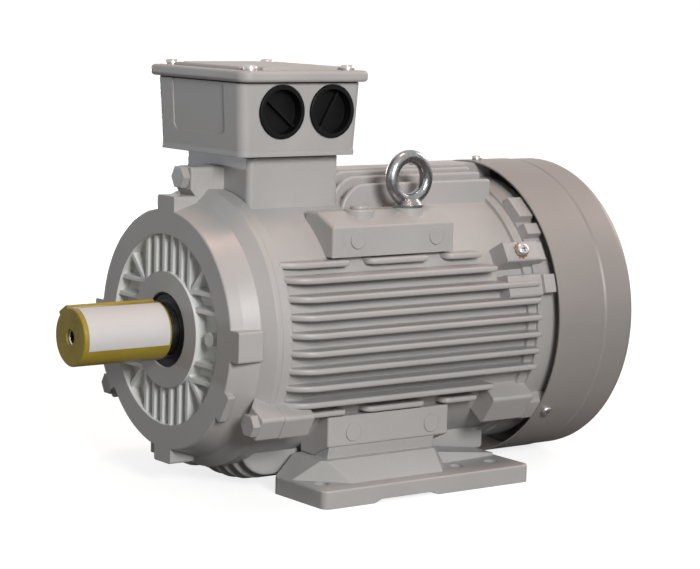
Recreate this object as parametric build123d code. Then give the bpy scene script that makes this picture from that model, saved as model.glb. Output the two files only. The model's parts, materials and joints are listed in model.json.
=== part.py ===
from build123d import *
import math
import os

# Foot-mounted, fan-cooled three-phase motor of mounting size 132. Millimetres.
# Origin: centre of the long foot-hole pattern, on the plane that the feet stand on.
# +Z is up, the shaft lies along Y with its free end towards -Y, the cable entries face +X.

# ---------------------------------------------------------------- standard mounting sizes
SHAFT_HEIGHT = 132.0
FOOT_HOLES_ACROSS = 216.0
FOOT_HOLES_LONG = 178.0
FOOT_HOLES_SHORT = 140.0
FOOT_HOLE_D = 12.0
SHOULDER_TO_FOOT_HOLE = 89.0
SHAFT_END_D = 38.0
SHAFT_END_LENGTH = 80.0
KEY_WIDTH = 10.0
KEYWAY_DEPTH = 5.0
KEYWAY_LENGTH = 70.0
KEYWAY_ANGLE = 119.0
CENTRE_THREAD_D = 12.0
CENTRE_THREAD_DEPTH = 28.0

# ---------------------------------------------------------------- clearances
SEAT_GAP = 0.02          # radial, between pieces fixed to each other
THREAD_GAP = 0.05        # radial, a plain shank in the hole of its thread
BOLT_GAP = 0.5           # radial, a bolt in a plain hole
HOLE_RESERVE = 2.0       # depth of a blind hole past the end of its screw
RUN_GAP = 0.3            # between a turning piece and a standing one
BALL_GAP = 0.3           # a ball and its races
CAGE_GAP = 0.15          # a ball and the pocket of its cage

# ---------------------------------------------------------------- stator and rotor
STATOR_D = 210.0
STATOR_BORE_D = 136.0
CORE_LENGTH = 160.0
SLOT_COUNT = 36
SLOT_WIDTH = 6.4
SLOT_DEPTH = 19.0
SLOT_MOUTH = 3.0
SLOT_LIP = 1.6
AIR_GAP = 0.5
WINDING_OVERHANG = 40.0
WINDING_GAP = 2.0
WINDING_WALL = 22.0
SLOT_LINER = 0.3
LEAD_COUNT = 6
LEAD_D = 3.4
CORE_SEAT_D = 50.0
CORE_SEAT_EXTRA = 4.0
SHAFT_BODY_D = 46.0
CAGE_BARS = 28
CAGE_BAR_D = 8.0
CAGE_BAR_INSET = 5.8
CAGE_RING_LENGTH = 14.0
CAGE_RING_WALL = 17.0
CAGE_BLADES = 8
CAGE_BLADE_LENGTH = 12.0
CAGE_BLADE_WALL = 5.0

# ---------------------------------------------------------------- frame
FRAME_LENGTH = 263.5
FRAME_WALL = 7.0
COLLAR_WALL = 10.5
COLLAR_LENGTH = 9.0
FIN_RISE = 13.5          # of the fins' tips over the collars
FIN_WALL = 5.0
FIN_PITCH = 14.3
FIN_EDGE_R = 2.0
FIN_RAMP = 25.0          # length of a fin's curved rise from the collar
FIN_END_R = 3.5
FIN_REAR_GAP = 3.0
SIDE_FIN_PAIRS = 4
OUTER_FIN_DROP = 4.1     # of the outermost fins below the pads' sides
OUTER_FIN_REACH = 5.0    # of the same fins past those sides
FIN_BREAK = 20.0
FIN_BREAK_RAMP = 8.0
TOP_FIN_RAMP = 24.0
TOP_FIN_GAP = 1.0
PAD_SIDE_SINK = 11.0     # of the pads' sides inside the barrel's radius
PAD_FACE_SINK = 12.0     # of the pads' level faces inside it
PAD_WIDTH = 38.0
PAD_FLAT = 15.0
PAD_SIDE_DROP = 10.3
PAD_SIDE_HEIGHT = 24.7
PAD_EDGE_R = 2.0
PAD_FRONT_Y = -78.0
PAD_REAR_Y = 47.0
PAD_HOLE_INSET = 22.0
PAD_HOLE_FRONT_Y = -53.0
PAD_HOLE_REAR_Y = 28.0
PAD_SPOT_D = 15.0
PAD_SPOT_RISE = 1.2
LIFT_BOSS_D = 25.0
LIFT_BOSS_RISE = 1.5
LIFT_BOSS_DEPTH = 14.0
LIFT_INSET = 21.0
LIFT_FRONT_Y = -37.0
LIFT_REAR_Y = 14.0
LIFT_HOLE_DEPTH = 20.0

# ---------------------------------------------------------------- end shields
FACE_SETBACK = 5.0
FACE_INSET = 6.0         # of the face's rim inside the frame's bore
FACE_RING = 20.5
FACE_RECESS_DEPTH = 10.5
HUB_RING_WALL = 17.0
SHIELD_DEPTH = 38.5
SHIELD_WALL = 7.0
SPIGOT_LENGTH = 7.0
SPIGOT_WALL = 6.0
FACE_CHAMFER = 1.0
RIM_DRAFT = 2.5          # growth of the shield's rim down to the floor of the recess
RIM_FLARE = 7.0          # growth of the rim down to where the flare starts
RIM_FLARE_AT = 24.0
BEAD_LENGTH = 5.0        # of the cylinder beside the joint with the frame
BEAD_SLOPE = 3.0
SHELL_INSET = 9.0        # of the shell's inner corner inside the rim
SHELL_STEP = 6.0
RIB_WALL = 3.8
RIB_ROOT_WALL = 7.0
RIB_SETBACK = 2.5
RIB_PITCH_X = 12.7
RIB_OFFSETS_Z = (21.5, 36.0)
RIB_BOSS_OUT = 14.8
RIB_BOSS_D = 12.0
TAB_WIDTH = 25.0
TAB_RISE = 11.0
TAB_LENGTH = 23.0
BOLT_TAB_RISE = 5.5
BOLT_TAB_LENGTH = 7.0
SEAL_D = 62.0
SEAL_LENGTH = 8.0
SEAL_SETBACK = 1.5
LUG_ANGLES = (90.0, -30.0, -150.0)
LUG_COVER = 9.2          # over the middle of a lug's bolt
LUG_WIDTH = 22.0
LUG_EDGE_R = 3.0
LUG_SLOPE = 14.0
LUG_SHORTFALL = 0.6      # of the shield's lugs inside those of the frame
LUG_LENGTH = 28.5
SHIELD_LUG_LENGTH = 21.5
LUG_BOLT_OUT = 9.3       # of the bolts from the collars
LUG_BOLT_D = 10.0
LUG_BOLT_LENGTH = 40.0
REAR_LUG_ANGLES = (90.0, -37.0, -143.0)
REAR_LUG_COVER = 17.5
REAR_LUG_WIDTH = 24.0
REAR_LUG_LENGTH = 48.0
LOW_LUG_WIDTH = 28.0
LOW_LUG_LENGTH = 44.0
LOW_LUG_TURN = 2.5       # of the middles of the two lower lugs above their bolts
REAR_BOLT_OUT = 8.0      # of the bolts from the frame's bore
REAR_BOLT_D = 8.0
REAR_BOLT_GRIP = 20.0
REAR_RIM_OUT = 2.5
REAR_RIM_LENGTH = 27.0
REAR_RIM_WALL = 8.0
REAR_WEB_START = 5.0
REAR_HUB_WALL = 9.0
REAR_ARM_LENGTH = 31.0
REAR_ARM_WIDTH = 20.0
RIM_BLOCKS = ((50.5, 23.0), (39.4, 11.0))   # angle and width of each
RIM_BLOCK_RISE = 8.0
RIM_BLOCK_LENGTH = 16.0

# ---------------------------------------------------------------- earthing block
EARTH_ANGLE = 29.0
EARTH_RISE = 15.5
EARTH_WIDTH = 18.0
EARTH_LENGTH = 37.0
EARTH_SCREW_D = 6.0
EARTH_TAIL = 8.0         # of the block past the joint, over the shield's rim
EARTH_SCREW_INSET = 20.0
REST_ANGLE = 16.0
REST_RISE = 10.5
REST_WIDTH = 20.0
REST_LENGTH = 12.0

# ---------------------------------------------------------------- bearings
BEARING_BORE = 40.0
FRONT_BEARING_D = 90.0
FRONT_BEARING_WIDTH = 23.0
FRONT_BALL_D = 15.0
FRONT_BALLS = 8
REAR_BEARING_D = 80.0
REAR_BEARING_WIDTH = 18.0
REAR_BALL_D = 12.0
REAR_BALLS = 9
RACE_SHOULDER = 0.22     # share of the ball's size that each race rises beside it
CAGE_WALL_SHARE = 0.34   # radial wall of the ball cage, as a share of the ball's size
CAGE_WIDTH_SHARE = 1.12
RETAINER_WALL = 2.4
RETAINER_GROOVE = 1.5
RETAINER_REACH = 3.6
SPRING_THICKNESS = 0.6
SPRING_ROOM = 2.4
SPRING_WAVES = 3
SPRING_STEPS = 24
SPRING_WIDTH = 5.0

# ---------------------------------------------------------------- fan and cowl
FAN_SEAT_D = 36.0
FAN_HUB_D = 60.0
FAN_HUB_LENGTH = 24.0
FAN_TIP_GAP = 21.5
FAN_BLADES = 9
FAN_BLADE_DEPTH = 32.0
FAN_WALL = 3.0
FAN_TIP_CUT = 8.0
FAN_TO_BOLTS = 3.0
FAN_RING_WALL = 1.75
REAR_SEAL_D = 54.0
REAR_SEAL_LENGTH = 6.0
COWL_AIR_GAP = 11.5      # between the shield's rim and the cowl
COWL_SHEET = 1.5
COWL_START = 13.0
COWL_LENGTH = 89.0
COWL_STEP_AT = 51.0
COWL_STEP = 0.6
CREASE_DEPTH = 2.0
CREASE_WIDTH = 4.0
COWL_CORNER_R = 9.0
COWL_CORNER_STEPS = 6
COWL_SCREW_AT = 10.5
COWL_SCREW_D = 5.0
COWL_SCREW_LENGTH = 9.0
GRILLE_INNER_R = 22.0
GRILLE_MARGIN = 31.0
GRILLE_RINGS = 7
GRILLE_SPOKES = 6
GRILLE_BAR = 4.0

# ---------------------------------------------------------------- shaft cap
CAP_BORE_D = 44.0
CAP_WALL = 1.9
CAP_END_WALL = 2.2
CAP_HOLE_D = 13.0
CAP_SHORT_OF_SHOULDER = 2.0
CAP_RIDGE_WIDTH = 14.0
CAP_RIDGE_RISE = 1.2
CAP_POCKET = 0.8

# ---------------------------------------------------------------- terminal box
PEDESTAL_X = 95.0
PEDESTAL_Y = 89.6
PEDESTAL_SETBACK = 10.2
PEDESTAL_RISE = 30.4     # over the barrel
PEDESTAL_RIM_X = 17.5
PEDESTAL_RIM_Y = 10.5
PEDESTAL_FLOOR = 9.0     # over the barrel
PEDESTAL_CORNER_R = 5.0
THROAT_X = 44.0
THROAT_Y = 30.0
BOX_SHIFT = 5.1          # of the box towards the drive end
BOX_BASE_X = 123.4
BOX_BASE_Y = 113.5
BOX_TOP_X = 127.2
BOX_TOP_Y = 120.4
BOX_HEIGHT = 59.0
BOX_WALL = 4.0
BOX_FLOOR = 5.0
BOX_CORNER_R = 8.0
BOX_SKIRT = 4.5
BOX_SKIRT_PROUD = 0.6
BOX_PANEL_X = 76.0
BOX_PANEL_Z = 42.0
BOX_PANEL_DEPTH = 1.0
BOX_PANEL_R = 6.0
BASE_GASKET = 2.0
LID_GASKET = 1.2
LID_X = 145.6
LID_Y = 128.0
LID_THICKNESS = 9.0
LID_EDGE_R = 3.0
LID_LIP = 3.0
LID_PANEL_INSET = 13.0
LID_PANEL_RISE = 2.6
LID_SCREW_X = 116.4
LID_SCREW_Y = 95.8
LID_SCREW_D = 6.0
LID_SCREW_DEPTH = 8.0
LID_SCREW_NOTCH_R = 11.0
COLUMN_D = 12.0
BOX_SCREW_X = 72.0
BOX_SCREW_Y = 78.0
BOX_SCREW_D = 6.0
BOX_SCREW_LENGTH = 18.0
ENTRY_D = 40.0
ENTRY_HEIGHT = 36.0
ENTRY_BOSS = 8.0
ENTRY_BOSS_WALL = 3.0
ENTRY_FACE_CUT = 6.0
ENTRY_FRONT_SHIFT = -19.4
ENTRY_REAR_SHIFT = 30.1
PLUG_FLANGE_D = 43.6
PLUG_FLANGE = 2.4
PLUG_DEPTH = 9.0
PLUG_SKIN = 1.8
PLUG_WEB = 2.0
FRONT_PLUG_TURN = 50.0   # of the grip web from upright
REAR_PLUG_TURN = -30.0
BOARD_X = 76.0
BOARD_Y = 44.0
BOARD_HEIGHT = 9.0
BOARD_LEG = 8.0
BOARD_LEG_X = 6.0
STUD_D = 5.0
STUD_PITCH_X = 19.0
STUD_PITCH_Y = 20.0
STUD_HEIGHT = 14.0
LINK_WIDTH = 9.0
LINK_WALL = 1.5

# ---------------------------------------------------------------- feet
FOOT_INNER_MARGIN = 19.0
FOOT_OUTER_MARGIN = 26.5
FOOT_FRONT_MARGIN = 15.0
FOOT_REAR_MARGIN = 22.0
FOOT_PLATE = 15.0
FOOT_CORNER_R = 7.0
FOOT_EDGE_R = 1.5
WEB_FRONT_WIDTH = 22.0
WEB_FRONT_SLOPE = 23.0
WEB_REAR_SLOPE = 17.0
WEB_TOP_INSET = 14.0
WEB_STEP = 3.0
WEDGE_LOW_INSET = 4.0    # of the wedge under a pad's slope, inside the pad's side
WEDGE_HIGH_INSET = 1.5
WEDGE_START = 3.0
TAIL_LAP = 22.0
TAIL_SLOPE = 5.0
RELIEF_DEPTH = 3.0
RELIEF_FRONT_Y = -54.0
RELIEF_REAR_Y = 12.0
RELIEF_SLOPE = 7.0
FOOT_SCREW_D = 10.0
FOOT_SCREW_LENGTH = 32.0
FOOT_SCREW_REACH = 16.0
EYE_OUTER_D = 47.0
EYE_INNER_D = 25.0
EYE_CENTRE_HEIGHT = 23.8
EYE_BASE_D = 25.0
EYE_BASE_HEIGHT = 7.0
EYE_SHANK_D = 10.0
EYE_SHANK_LENGTH = 17.0
HOLE_PLUG_D = 15.0
HOLE_PLUG_HEAD = 3.0
HOLE_PLUG_DEPTH = 12.0
EARTH_WASHER_D = 15.0
EARTH_WASHER = 1.4
EARTH_SCREW_LENGTH = 12.0

# ---------------------------------------------------------------- stations along the shaft
Y_SHOULDER = -(FOOT_HOLES_LONG / 2 + SHOULDER_TO_FOOT_HOLE)
Y_TIP = Y_SHOULDER - SHAFT_END_LENGTH
Y_FACE = Y_SHOULDER + FACE_SETBACK
Y_FRONT_JOINT = Y_FACE + SHIELD_DEPTH
Y_REAR_JOINT = Y_FRONT_JOINT + FRAME_LENGTH
Y_CORE_CENTRE = (Y_FRONT_JOINT + Y_REAR_JOINT) / 2 + 2.0
Y_CORE_FRONT = Y_CORE_CENTRE - CORE_LENGTH / 2
Y_CORE_REAR = Y_CORE_CENTRE + CORE_LENGTH / 2
Y_FRONT_BEARING = Y_FACE + SEAL_SETBACK + SEAL_LENGTH + 3.5
Y_FRONT_BEARING_END = Y_FRONT_BEARING + FRONT_BEARING_WIDTH
Y_REAR_BEARING = Y_REAR_JOINT + 2.0
Y_REAR_BEARING_END = Y_REAR_BEARING + REAR_BEARING_WIDTH
Y_REAR_HUB_END = Y_REAR_BEARING_END + SPRING_ROOM + 4.0
Y_ARM_END = Y_REAR_JOINT + REAR_ARM_LENGTH
Y_COWL_FRONT = Y_REAR_JOINT + COWL_START
Y_COWL_REAR = Y_COWL_FRONT + COWL_LENGTH
PEDESTAL_CENTRE_Y = Y_FRONT_JOINT + PEDESTAL_SETBACK + PEDESTAL_Y / 2
THROAT_CENTRE_Y = Y_CORE_FRONT - WINDING_OVERHANG / 2
BOX_CENTRE_Y = PEDESTAL_CENTRE_Y - BOX_SHIFT
ENTRY_FRONT_Y = BOX_CENTRE_Y + ENTRY_FRONT_SHIFT
ENTRY_REAR_Y = BOX_CENTRE_Y + ENTRY_REAR_SHIFT
FOOT_FRONT_Y = -FOOT_HOLES_LONG / 2 - FOOT_FRONT_MARGIN
FOOT_REAR_Y = FOOT_HOLES_LONG / 2 + FOOT_REAR_MARGIN

# ---------------------------------------------------------------- radii and heights that follow
FRAME_BORE_R = STATOR_D / 2 + SEAT_GAP
BARREL_R = FRAME_BORE_R + FRAME_WALL
COLLAR_R = FRAME_BORE_R + COLLAR_WALL
FIN_TIP_R = COLLAR_R + FIN_RISE
FACE_R = FRAME_BORE_R - FACE_INSET
FACE_RECESS_R = FACE_R - FACE_RING
HUB_RING_R = SEAL_D / 2 + HUB_RING_WALL
RIB_BOSS_R = HUB_RING_R + RIB_BOSS_OUT
TAB_R = FACE_R + TAB_RISE
BOLT_TAB_R = FACE_R + BOLT_TAB_RISE
LUG_BOLT_R = COLLAR_R + LUG_BOLT_OUT
LUG_R = LUG_BOLT_R + LUG_COVER
REAR_BOLT_R = FRAME_BORE_R + REAR_BOLT_OUT
REAR_LUG_R = REAR_BOLT_R + REAR_LUG_COVER
REAR_RIM_R = COLLAR_R + REAR_RIM_OUT
EARTH_R = COLLAR_R + EARTH_RISE
REST_R = COLLAR_R + REST_RISE
SHAFT_END_R = SHAFT_END_D / 2
JOURNAL_R = BEARING_BORE / 2
SHAFT_BODY_R = SHAFT_BODY_D / 2
FAN_SEAT_R = FAN_SEAT_D / 2
ROTOR_R = STATOR_BORE_D / 2 - AIR_GAP
COWL_INNER_R = REAR_RIM_R + COWL_AIR_GAP
COWL_R = COWL_INNER_R + COWL_SHEET
ARM_R = COWL_INNER_R - SEAT_GAP
GRILLE_OUTER_R = COWL_R - GRILLE_MARGIN
FAN_R = COWL_INNER_R - FAN_TIP_GAP
PAD_REACH = BARREL_R - PAD_SIDE_SINK
PAD_PLANE = BARREL_R - PAD_FACE_SINK
PAD_INNER_X = PAD_REACH - PAD_WIDTH
PAD_FLAT_X = PAD_INNER_X + PAD_FLAT
PAD_SIDE_TOP = PAD_PLANE - PAD_SIDE_DROP
PAD_SIDE_LOW = PAD_SIDE_TOP - PAD_SIDE_HEIGHT
PAD_HOLE_OFFSET = PAD_REACH - PAD_HOLE_INSET
PAD_BOTTOM = SHAFT_HEIGHT - PAD_PLANE
LIFT_X = PAD_REACH - LIFT_INSET
OUTER_FIN_OFFSET = PAD_SIDE_LOW - OUTER_FIN_DROP
OUTER_FIN_TIP_R = math.hypot(PAD_REACH + OUTER_FIN_REACH, OUTER_FIN_OFFSET)
FOOT_INNER_X = PAD_HOLE_OFFSET - FOOT_INNER_MARGIN
FOOT_OUTER_X = FOOT_HOLES_ACROSS / 2 + FOOT_OUTER_MARGIN
PEDESTAL_TOP = SHAFT_HEIGHT + BARREL_R + PEDESTAL_RISE
Z_BOX = PEDESTAL_TOP + BASE_GASKET
Z_BOX_TOP = Z_BOX + BOX_HEIGHT
Z_LID = Z_BOX_TOP + LID_GASKET
Z_LID_TOP = Z_LID + LID_THICKNESS
Z_ENTRY = Z_BOX + ENTRY_HEIGHT
Z_LIFT = SHAFT_HEIGHT + PAD_PLANE + LIFT_BOSS_RISE
TINY = 0.5               # how far a cut runs past the face that it opens


# ---------------------------------------------------------------- shared shapes
def on_axis(shape):
    """A shape drawn round the Y axis, lifted to the shaft axis."""
    return Pos(0, 0, SHAFT_HEIGHT) * shape


def turned(corners):
    """A body of revolution about the Y axis, from its (radius, y) corners."""
    return revolve(make_face(Polyline(*corners, close=True)), Axis.Y)


def tube(inner_r, outer_r, y_start, y_end):
    """A ring about the Y axis; an inner radius of 0 gives a disc."""
    return turned([(inner_r, y_start), (outer_r, y_start), (outer_r, y_end), (inner_r, y_end)])


def at_angle(angle, shape):
    """A shape drawn at +X, swung about the Y axis towards +Z."""
    return Rot(0, -angle, 0) * shape


def block(x_range, y_range, z_range):
    """A box between two corners."""
    (x0, x1), (y0, y1), (z0, z1) = x_range, y_range, z_range
    return Pos((x0 + x1) / 2, (y0 + y1) / 2, (z0 + z1) / 2) * Box(x1 - x0, y1 - y0, z1 - z0)


def radial_block(inner_r, outer_r, width, y_start, y_end, edge_r):
    """A lug standing out at +X, with its two long outer edges rounded."""
    lug = block((inner_r, outer_r), (y_start, y_end), (-width / 2, width / 2))
    return fillet(lug.edges().filter_by(Axis.Y).group_by(Axis.X)[-1], edge_r)


def upright(radius, z_low, z_high, x=0.0, y=0.0):
    """A vertical cylinder between two heights."""
    return Pos(x, y, (z_low + z_high) / 2) * Cylinder(radius, z_high - z_low)


def placed(shape, origin, towards):
    """A shape drawn along +Z, set at origin with its +Z turned towards a direction."""
    return Plane(origin=origin, z_dir=towards).location * shape


def rounded_plate(size_x, size_y, z_low, z_high, corner_r):
    """A flat plate with round upright corners, centred on X and Y."""
    return extrude(Pos(0, 0, z_low) * RectangleRounded(size_x, size_y, corner_r), z_high - z_low)


def hex_screw(size, length):
    """A hexagon-head screw: its seat is at z = 0 and its head above."""
    head = extrude(RegularPolygon(size * 0.85, 6, major_radius=False), size * 0.65)
    crown = chamfer(head.faces().sort_by(Axis.Z)[-1].edges(), size * 0.06)
    return crown + upright(size / 2, -length, TINY)


def socket_screw(size, length):
    """A socket-head cap screw: its seat is at z = 0 and its head above."""
    head = fillet(upright(size * 0.75, 0, size).faces().sort_by(Axis.Z)[-1].edges(), size * 0.08)
    socket = extrude(Pos(0, 0, size * 0.5) * RegularPolygon(size * 0.4, 6, major_radius=False), size)
    return head + upright(size / 2, -length, TINY) - socket


def pan_screw(size, length, recess=True):
    """A domed screw with a cross recess: its seat is at z = 0 and its head above."""
    head = fillet(upright(size, 0, size * 0.72).faces().sort_by(Axis.Z)[-1].edges(), size * 0.45)
    screw = head + upright(size / 2, -length, TINY)
    if recess:
        arm = Pos(0, 0, size * 0.72) * Box(size * 0.9, size * 0.2, size * 0.7)
        screw = screw - arm - Rot(0, 0, 90) * arm
    return screw


def drilled(radius, z_low, z_high, places):
    """Upright holes between two faces, at several (x, y) places, as solids to cut away."""
    return [upright(radius, z_low - TINY, z_high + TINY, x, y) for x, y in places]


def screw_hole(size, depth, gap):
    """The hole for a screw whose seat is at z = 0."""
    return upright(size / 2 + gap, -depth, TINY)


# ---------------------------------------------------------------- frame
def fin(offset, y_start, y_end, ramp, tip_r=FIN_TIP_R, root_r=COLLAR_R):
    """One fin at +X, at a height offset from the axis, that rises in an arc to the tip circle."""
    tip_x = math.sqrt(tip_r ** 2 - offset ** 2)
    rise_x = math.sqrt(root_r ** 2 - offset ** 2)
    inner_x = math.sqrt(FRAME_BORE_R ** 2 - (abs(offset) + FIN_WALL) ** 2)
    sides = Polyline(
        (rise_x, y_start), (inner_x, y_start), (inner_x, y_end), (tip_x, y_end), (tip_x, y_start + ramp)
    )
    nose = TangentArc((tip_x, y_start + ramp), (rise_x, y_start), tangent=(0, -1))
    outline = make_face(sides + nose)
    rear = outline.vertices().filter_by(lambda v: v.X > rise_x + 1 and v.Y > y_end - 1)
    outline = fillet(rear, FIN_END_R)
    plate = extrude(Pos(0, 0, offset - FIN_WALL / 2) * outline, FIN_WALL)
    rim = plate.edges().filter_by(lambda e: abs(e.tangent_at(0.5).Z) < 0.5 and e.center().X > rise_x + 0.2)
    return fillet(rim, FIN_EDGE_R)


def fin_offsets():
    """Heights of the whole fins on one side, from the axis."""
    steps = [(k + 0.5) * FIN_PITCH for k in range(SIDE_FIN_PAIRS)]
    return [-step for step in reversed(steps)] + steps


def side_fins():
    """The fins of the +X side: whole ones, and a broken one beside each corner pad."""
    y_start = Y_FRONT_JOINT + COLLAR_LENGTH - 2.0
    y_end = Y_REAR_JOINT - FIN_REAR_GAP
    lug_start = Y_REAR_JOINT - REAR_LUG_LENGTH
    fins = []
    for offset in fin_offsets():
        near_lug = abs(offset) > 3 * FIN_PITCH
        fins.append(fin(offset, y_start, lug_start + 2.0 if near_lug else y_end, FIN_RAMP))
    front_end = PAD_HOLE_FRONT_Y - FIN_BREAK / 2
    middle = (PAD_HOLE_FRONT_Y + FIN_BREAK / 2, PAD_HOLE_REAR_Y - FIN_BREAK / 2)
    rear = (PAD_HOLE_REAR_Y + FIN_BREAK / 2, lug_start - 6.0)
    for offset in (-OUTER_FIN_OFFSET, OUTER_FIN_OFFSET):
        fins.append(fin(offset, y_start, front_end, FIN_RAMP, OUTER_FIN_TIP_R))
        fins.append(fin(offset, *middle, FIN_BREAK_RAMP, OUTER_FIN_TIP_R))
        fins.append(fin(offset, *rear, FIN_BREAK_RAMP, OUTER_FIN_TIP_R))
    return fins


def corner_pad():
    """The mounting pad of the upper +X corner, drawn about the axis."""
    inner = FRAME_BORE_R + FRAME_WALL / 2
    section = [
        (PAD_INNER_X, math.sqrt(inner ** 2 - PAD_INNER_X ** 2)),
        (PAD_INNER_X, PAD_PLANE),
        (PAD_FLAT_X, PAD_PLANE),
        (PAD_REACH, PAD_SIDE_TOP),
        (PAD_REACH, PAD_SIDE_LOW),
        (math.sqrt(inner ** 2 - PAD_SIDE_LOW ** 2), PAD_SIDE_LOW),
    ]
    face = make_face(Polyline(*[(x, PAD_FRONT_Y, z) for x, z in section], close=True))
    pad = extrude(face, PAD_REAR_Y - PAD_FRONT_Y, dir=(0, 1, 0))
    outer = pad.edges().filter_by(lambda e: e.center().X > PAD_INNER_X + 2)
    outer = outer.filter_by(lambda e: e.center().Z > PAD_SIDE_LOW + 2)
    pad = fillet(outer, PAD_EDGE_R)
    for y in (PAD_HOLE_FRONT_Y, PAD_HOLE_REAR_Y):
        spot = Cylinder(PAD_SPOT_D / 2, 2 * PAD_SPOT_RISE)
        pad += Pos(PAD_REACH, y, PAD_HOLE_OFFSET) * (Rot(0, 90, 0) * spot)
    return pad


def lifting_boss(y):
    """An upright boss on the upper +X pad, with the hole for an eyebolt."""
    top = PAD_PLANE + LIFT_BOSS_RISE
    boss = upright(LIFT_BOSS_D / 2, PAD_PLANE - LIFT_BOSS_DEPTH, top, LIFT_X, y)
    return chamfer(boss.faces().sort_by(Axis.Z)[-1].edges(), 1.0)


def frame_solids():
    """Everything that is cast onto the barrel, drawn about the axis."""
    solids = [tube(0, COLLAR_R, Y_FRONT_JOINT, Y_FRONT_JOINT + COLLAR_LENGTH)]
    solids.append(tube(0, COLLAR_R, Y_REAR_JOINT - COLLAR_LENGTH, Y_REAR_JOINT))
    right = side_fins()
    solids += right + [mirror(piece, Plane.YZ) for piece in right]
    y_end = Y_REAR_JOINT - FIN_REAR_GAP
    pedestal_rear = PEDESTAL_CENTRE_Y + PEDESTAL_Y / 2
    for offset in fin_offsets():
        high = fin(offset, pedestal_rear + TOP_FIN_GAP, y_end, TOP_FIN_RAMP, root_r=BARREL_R)
        solids.append(at_angle(90, high))
        low = fin(offset, Y_FRONT_JOINT + COLLAR_LENGTH - 2.0, y_end, FIN_RAMP)
        solids.append(at_angle(-90, low))
    pad = corner_pad()
    upper = pad + [lifting_boss(LIFT_FRONT_Y), lifting_boss(LIFT_REAR_Y)]
    lower = mirror(pad, Plane.XY)
    solids += [upper, mirror(upper, Plane.YZ), lower, mirror(lower, Plane.YZ)]
    root_r = BARREL_R - FRAME_WALL / 2
    lug = radial_block(root_r, LUG_R, LUG_WIDTH, Y_FRONT_JOINT, Y_FRONT_JOINT + LUG_LENGTH, LUG_EDGE_R)
    rear_y = Y_REAR_JOINT - REAR_LUG_LENGTH
    rear_lug = radial_block(root_r, REAR_LUG_R, REAR_LUG_WIDTH, rear_y, Y_REAR_JOINT, LUG_EDGE_R)
    earth_y = Y_REAR_JOINT - EARTH_LENGTH
    earth = radial_block(root_r, EARTH_R, EARTH_WIDTH, earth_y, Y_REAR_JOINT, 2.0)
    rest = radial_block(root_r, REST_R, REST_WIDTH, earth_y, Y_REAR_JOINT, 3.0)
    solids += [at_angle(angle, lug) for angle in LUG_ANGLES]
    solids.append(at_angle(REAR_LUG_ANGLES[0], rear_lug))
    low_y = Y_REAR_JOINT - LOW_LUG_LENGTH
    low_lug = radial_block(root_r, REAR_LUG_R, LOW_LUG_WIDTH, low_y, Y_REAR_JOINT, LUG_EDGE_R)
    low_lug = at_angle(REAR_LUG_ANGLES[1] + LOW_LUG_TURN, low_lug)
    solids += [low_lug, mirror(low_lug, Plane.YZ)]
    tail_y = (Y_REAR_JOINT - COLLAR_LENGTH, Y_REAR_JOINT + EARTH_TAIL)
    tail_x = (REAR_RIM_R + RUN_GAP, EARTH_R - LUG_EDGE_R)
    tail = block(tail_x, tail_y, (-EARTH_WIDTH / 2 + 1, EARTH_WIDTH / 2 - 1))
    return solids + [at_angle(EARTH_ANGLE, earth + tail), at_angle(REST_ANGLE, rest)]


def pedestal():
    """The block that carries the terminal box, in the part's frame."""
    y0, y1 = PEDESTAL_CENTRE_Y - PEDESTAL_Y / 2, PEDESTAL_CENTRE_Y + PEDESTAL_Y / 2
    body = block((-PEDESTAL_X / 2, PEDESTAL_X / 2), (y0, y1), (SHAFT_HEIGHT + BARREL_R / 2, PEDESTAL_TOP))
    return fillet(body.edges().filter_by(Axis.Z), PEDESTAL_CORNER_R)


def pedestal_hollow():
    """The cable space inside the pedestal, and the throat through the barrel."""
    space = pedestal_window(SHAFT_HEIGHT + BARREL_R + PEDESTAL_FLOOR, PEDESTAL_TOP + TINY)
    throat = block(
        (-THROAT_X / 2, THROAT_X / 2),
        (THROAT_CENTRE_Y - THROAT_Y / 2, THROAT_CENTRE_Y + THROAT_Y / 2),
        (SHAFT_HEIGHT + FRAME_BORE_R / 2, SHAFT_HEIGHT + BARREL_R + PEDESTAL_FLOOR + TINY),
    )
    return space + throat


def pedestal_window(z_low, z_high):
    """The rounded opening of the pedestal, which its gasket and the box repeat."""
    size_x, size_y = PEDESTAL_X - 2 * PEDESTAL_RIM_X, PEDESTAL_Y - 2 * PEDESTAL_RIM_Y
    return Pos(0, PEDESTAL_CENTRE_Y, 0) * rounded_plate(size_x, size_y, z_low, z_high, 4.0)


def box_screw_seats():
    """Where the screws of the terminal box stand, as (x, y)."""
    signs = ((1, 1), (1, -1), (-1, 1), (-1, -1))
    return [(sx * BOX_SCREW_X / 2, PEDESTAL_CENTRE_Y + sy * BOX_SCREW_Y / 2) for sx, sy in signs]


def foot_screw_seats():
    """Where the screws that hold the feet stand, as (x, y)."""
    return [(sx * PAD_HOLE_OFFSET, y) for sx in (1, -1) for y in (PAD_HOLE_FRONT_Y, PAD_HOLE_REAR_Y)]


def lifting_seats():
    """Where the four lifting bosses stand, as (x, y)."""
    return [(sx * LIFT_X, y) for sx in (1, -1) for y in (LIFT_FRONT_Y, LIFT_REAR_Y)]


def earth_screw_place(shape):
    """A shape drawn along +Z, set on the outer face of the earthing block."""
    y = Y_REAR_JOINT - EARTH_SCREW_INSET
    return on_axis(at_angle(EARTH_ANGLE, placed(shape, (EARTH_R, y, 0), (1, 0, 0))))


def lug_bolt_place(shape, angle):
    """A shape drawn along +Z, set on a front lug with +Z towards the drive end."""
    y = Y_FRONT_JOINT - SHIELD_LUG_LENGTH
    return on_axis(at_angle(angle, placed(shape, (LUG_BOLT_R, y, 0), (0, -1, 0))))


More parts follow.
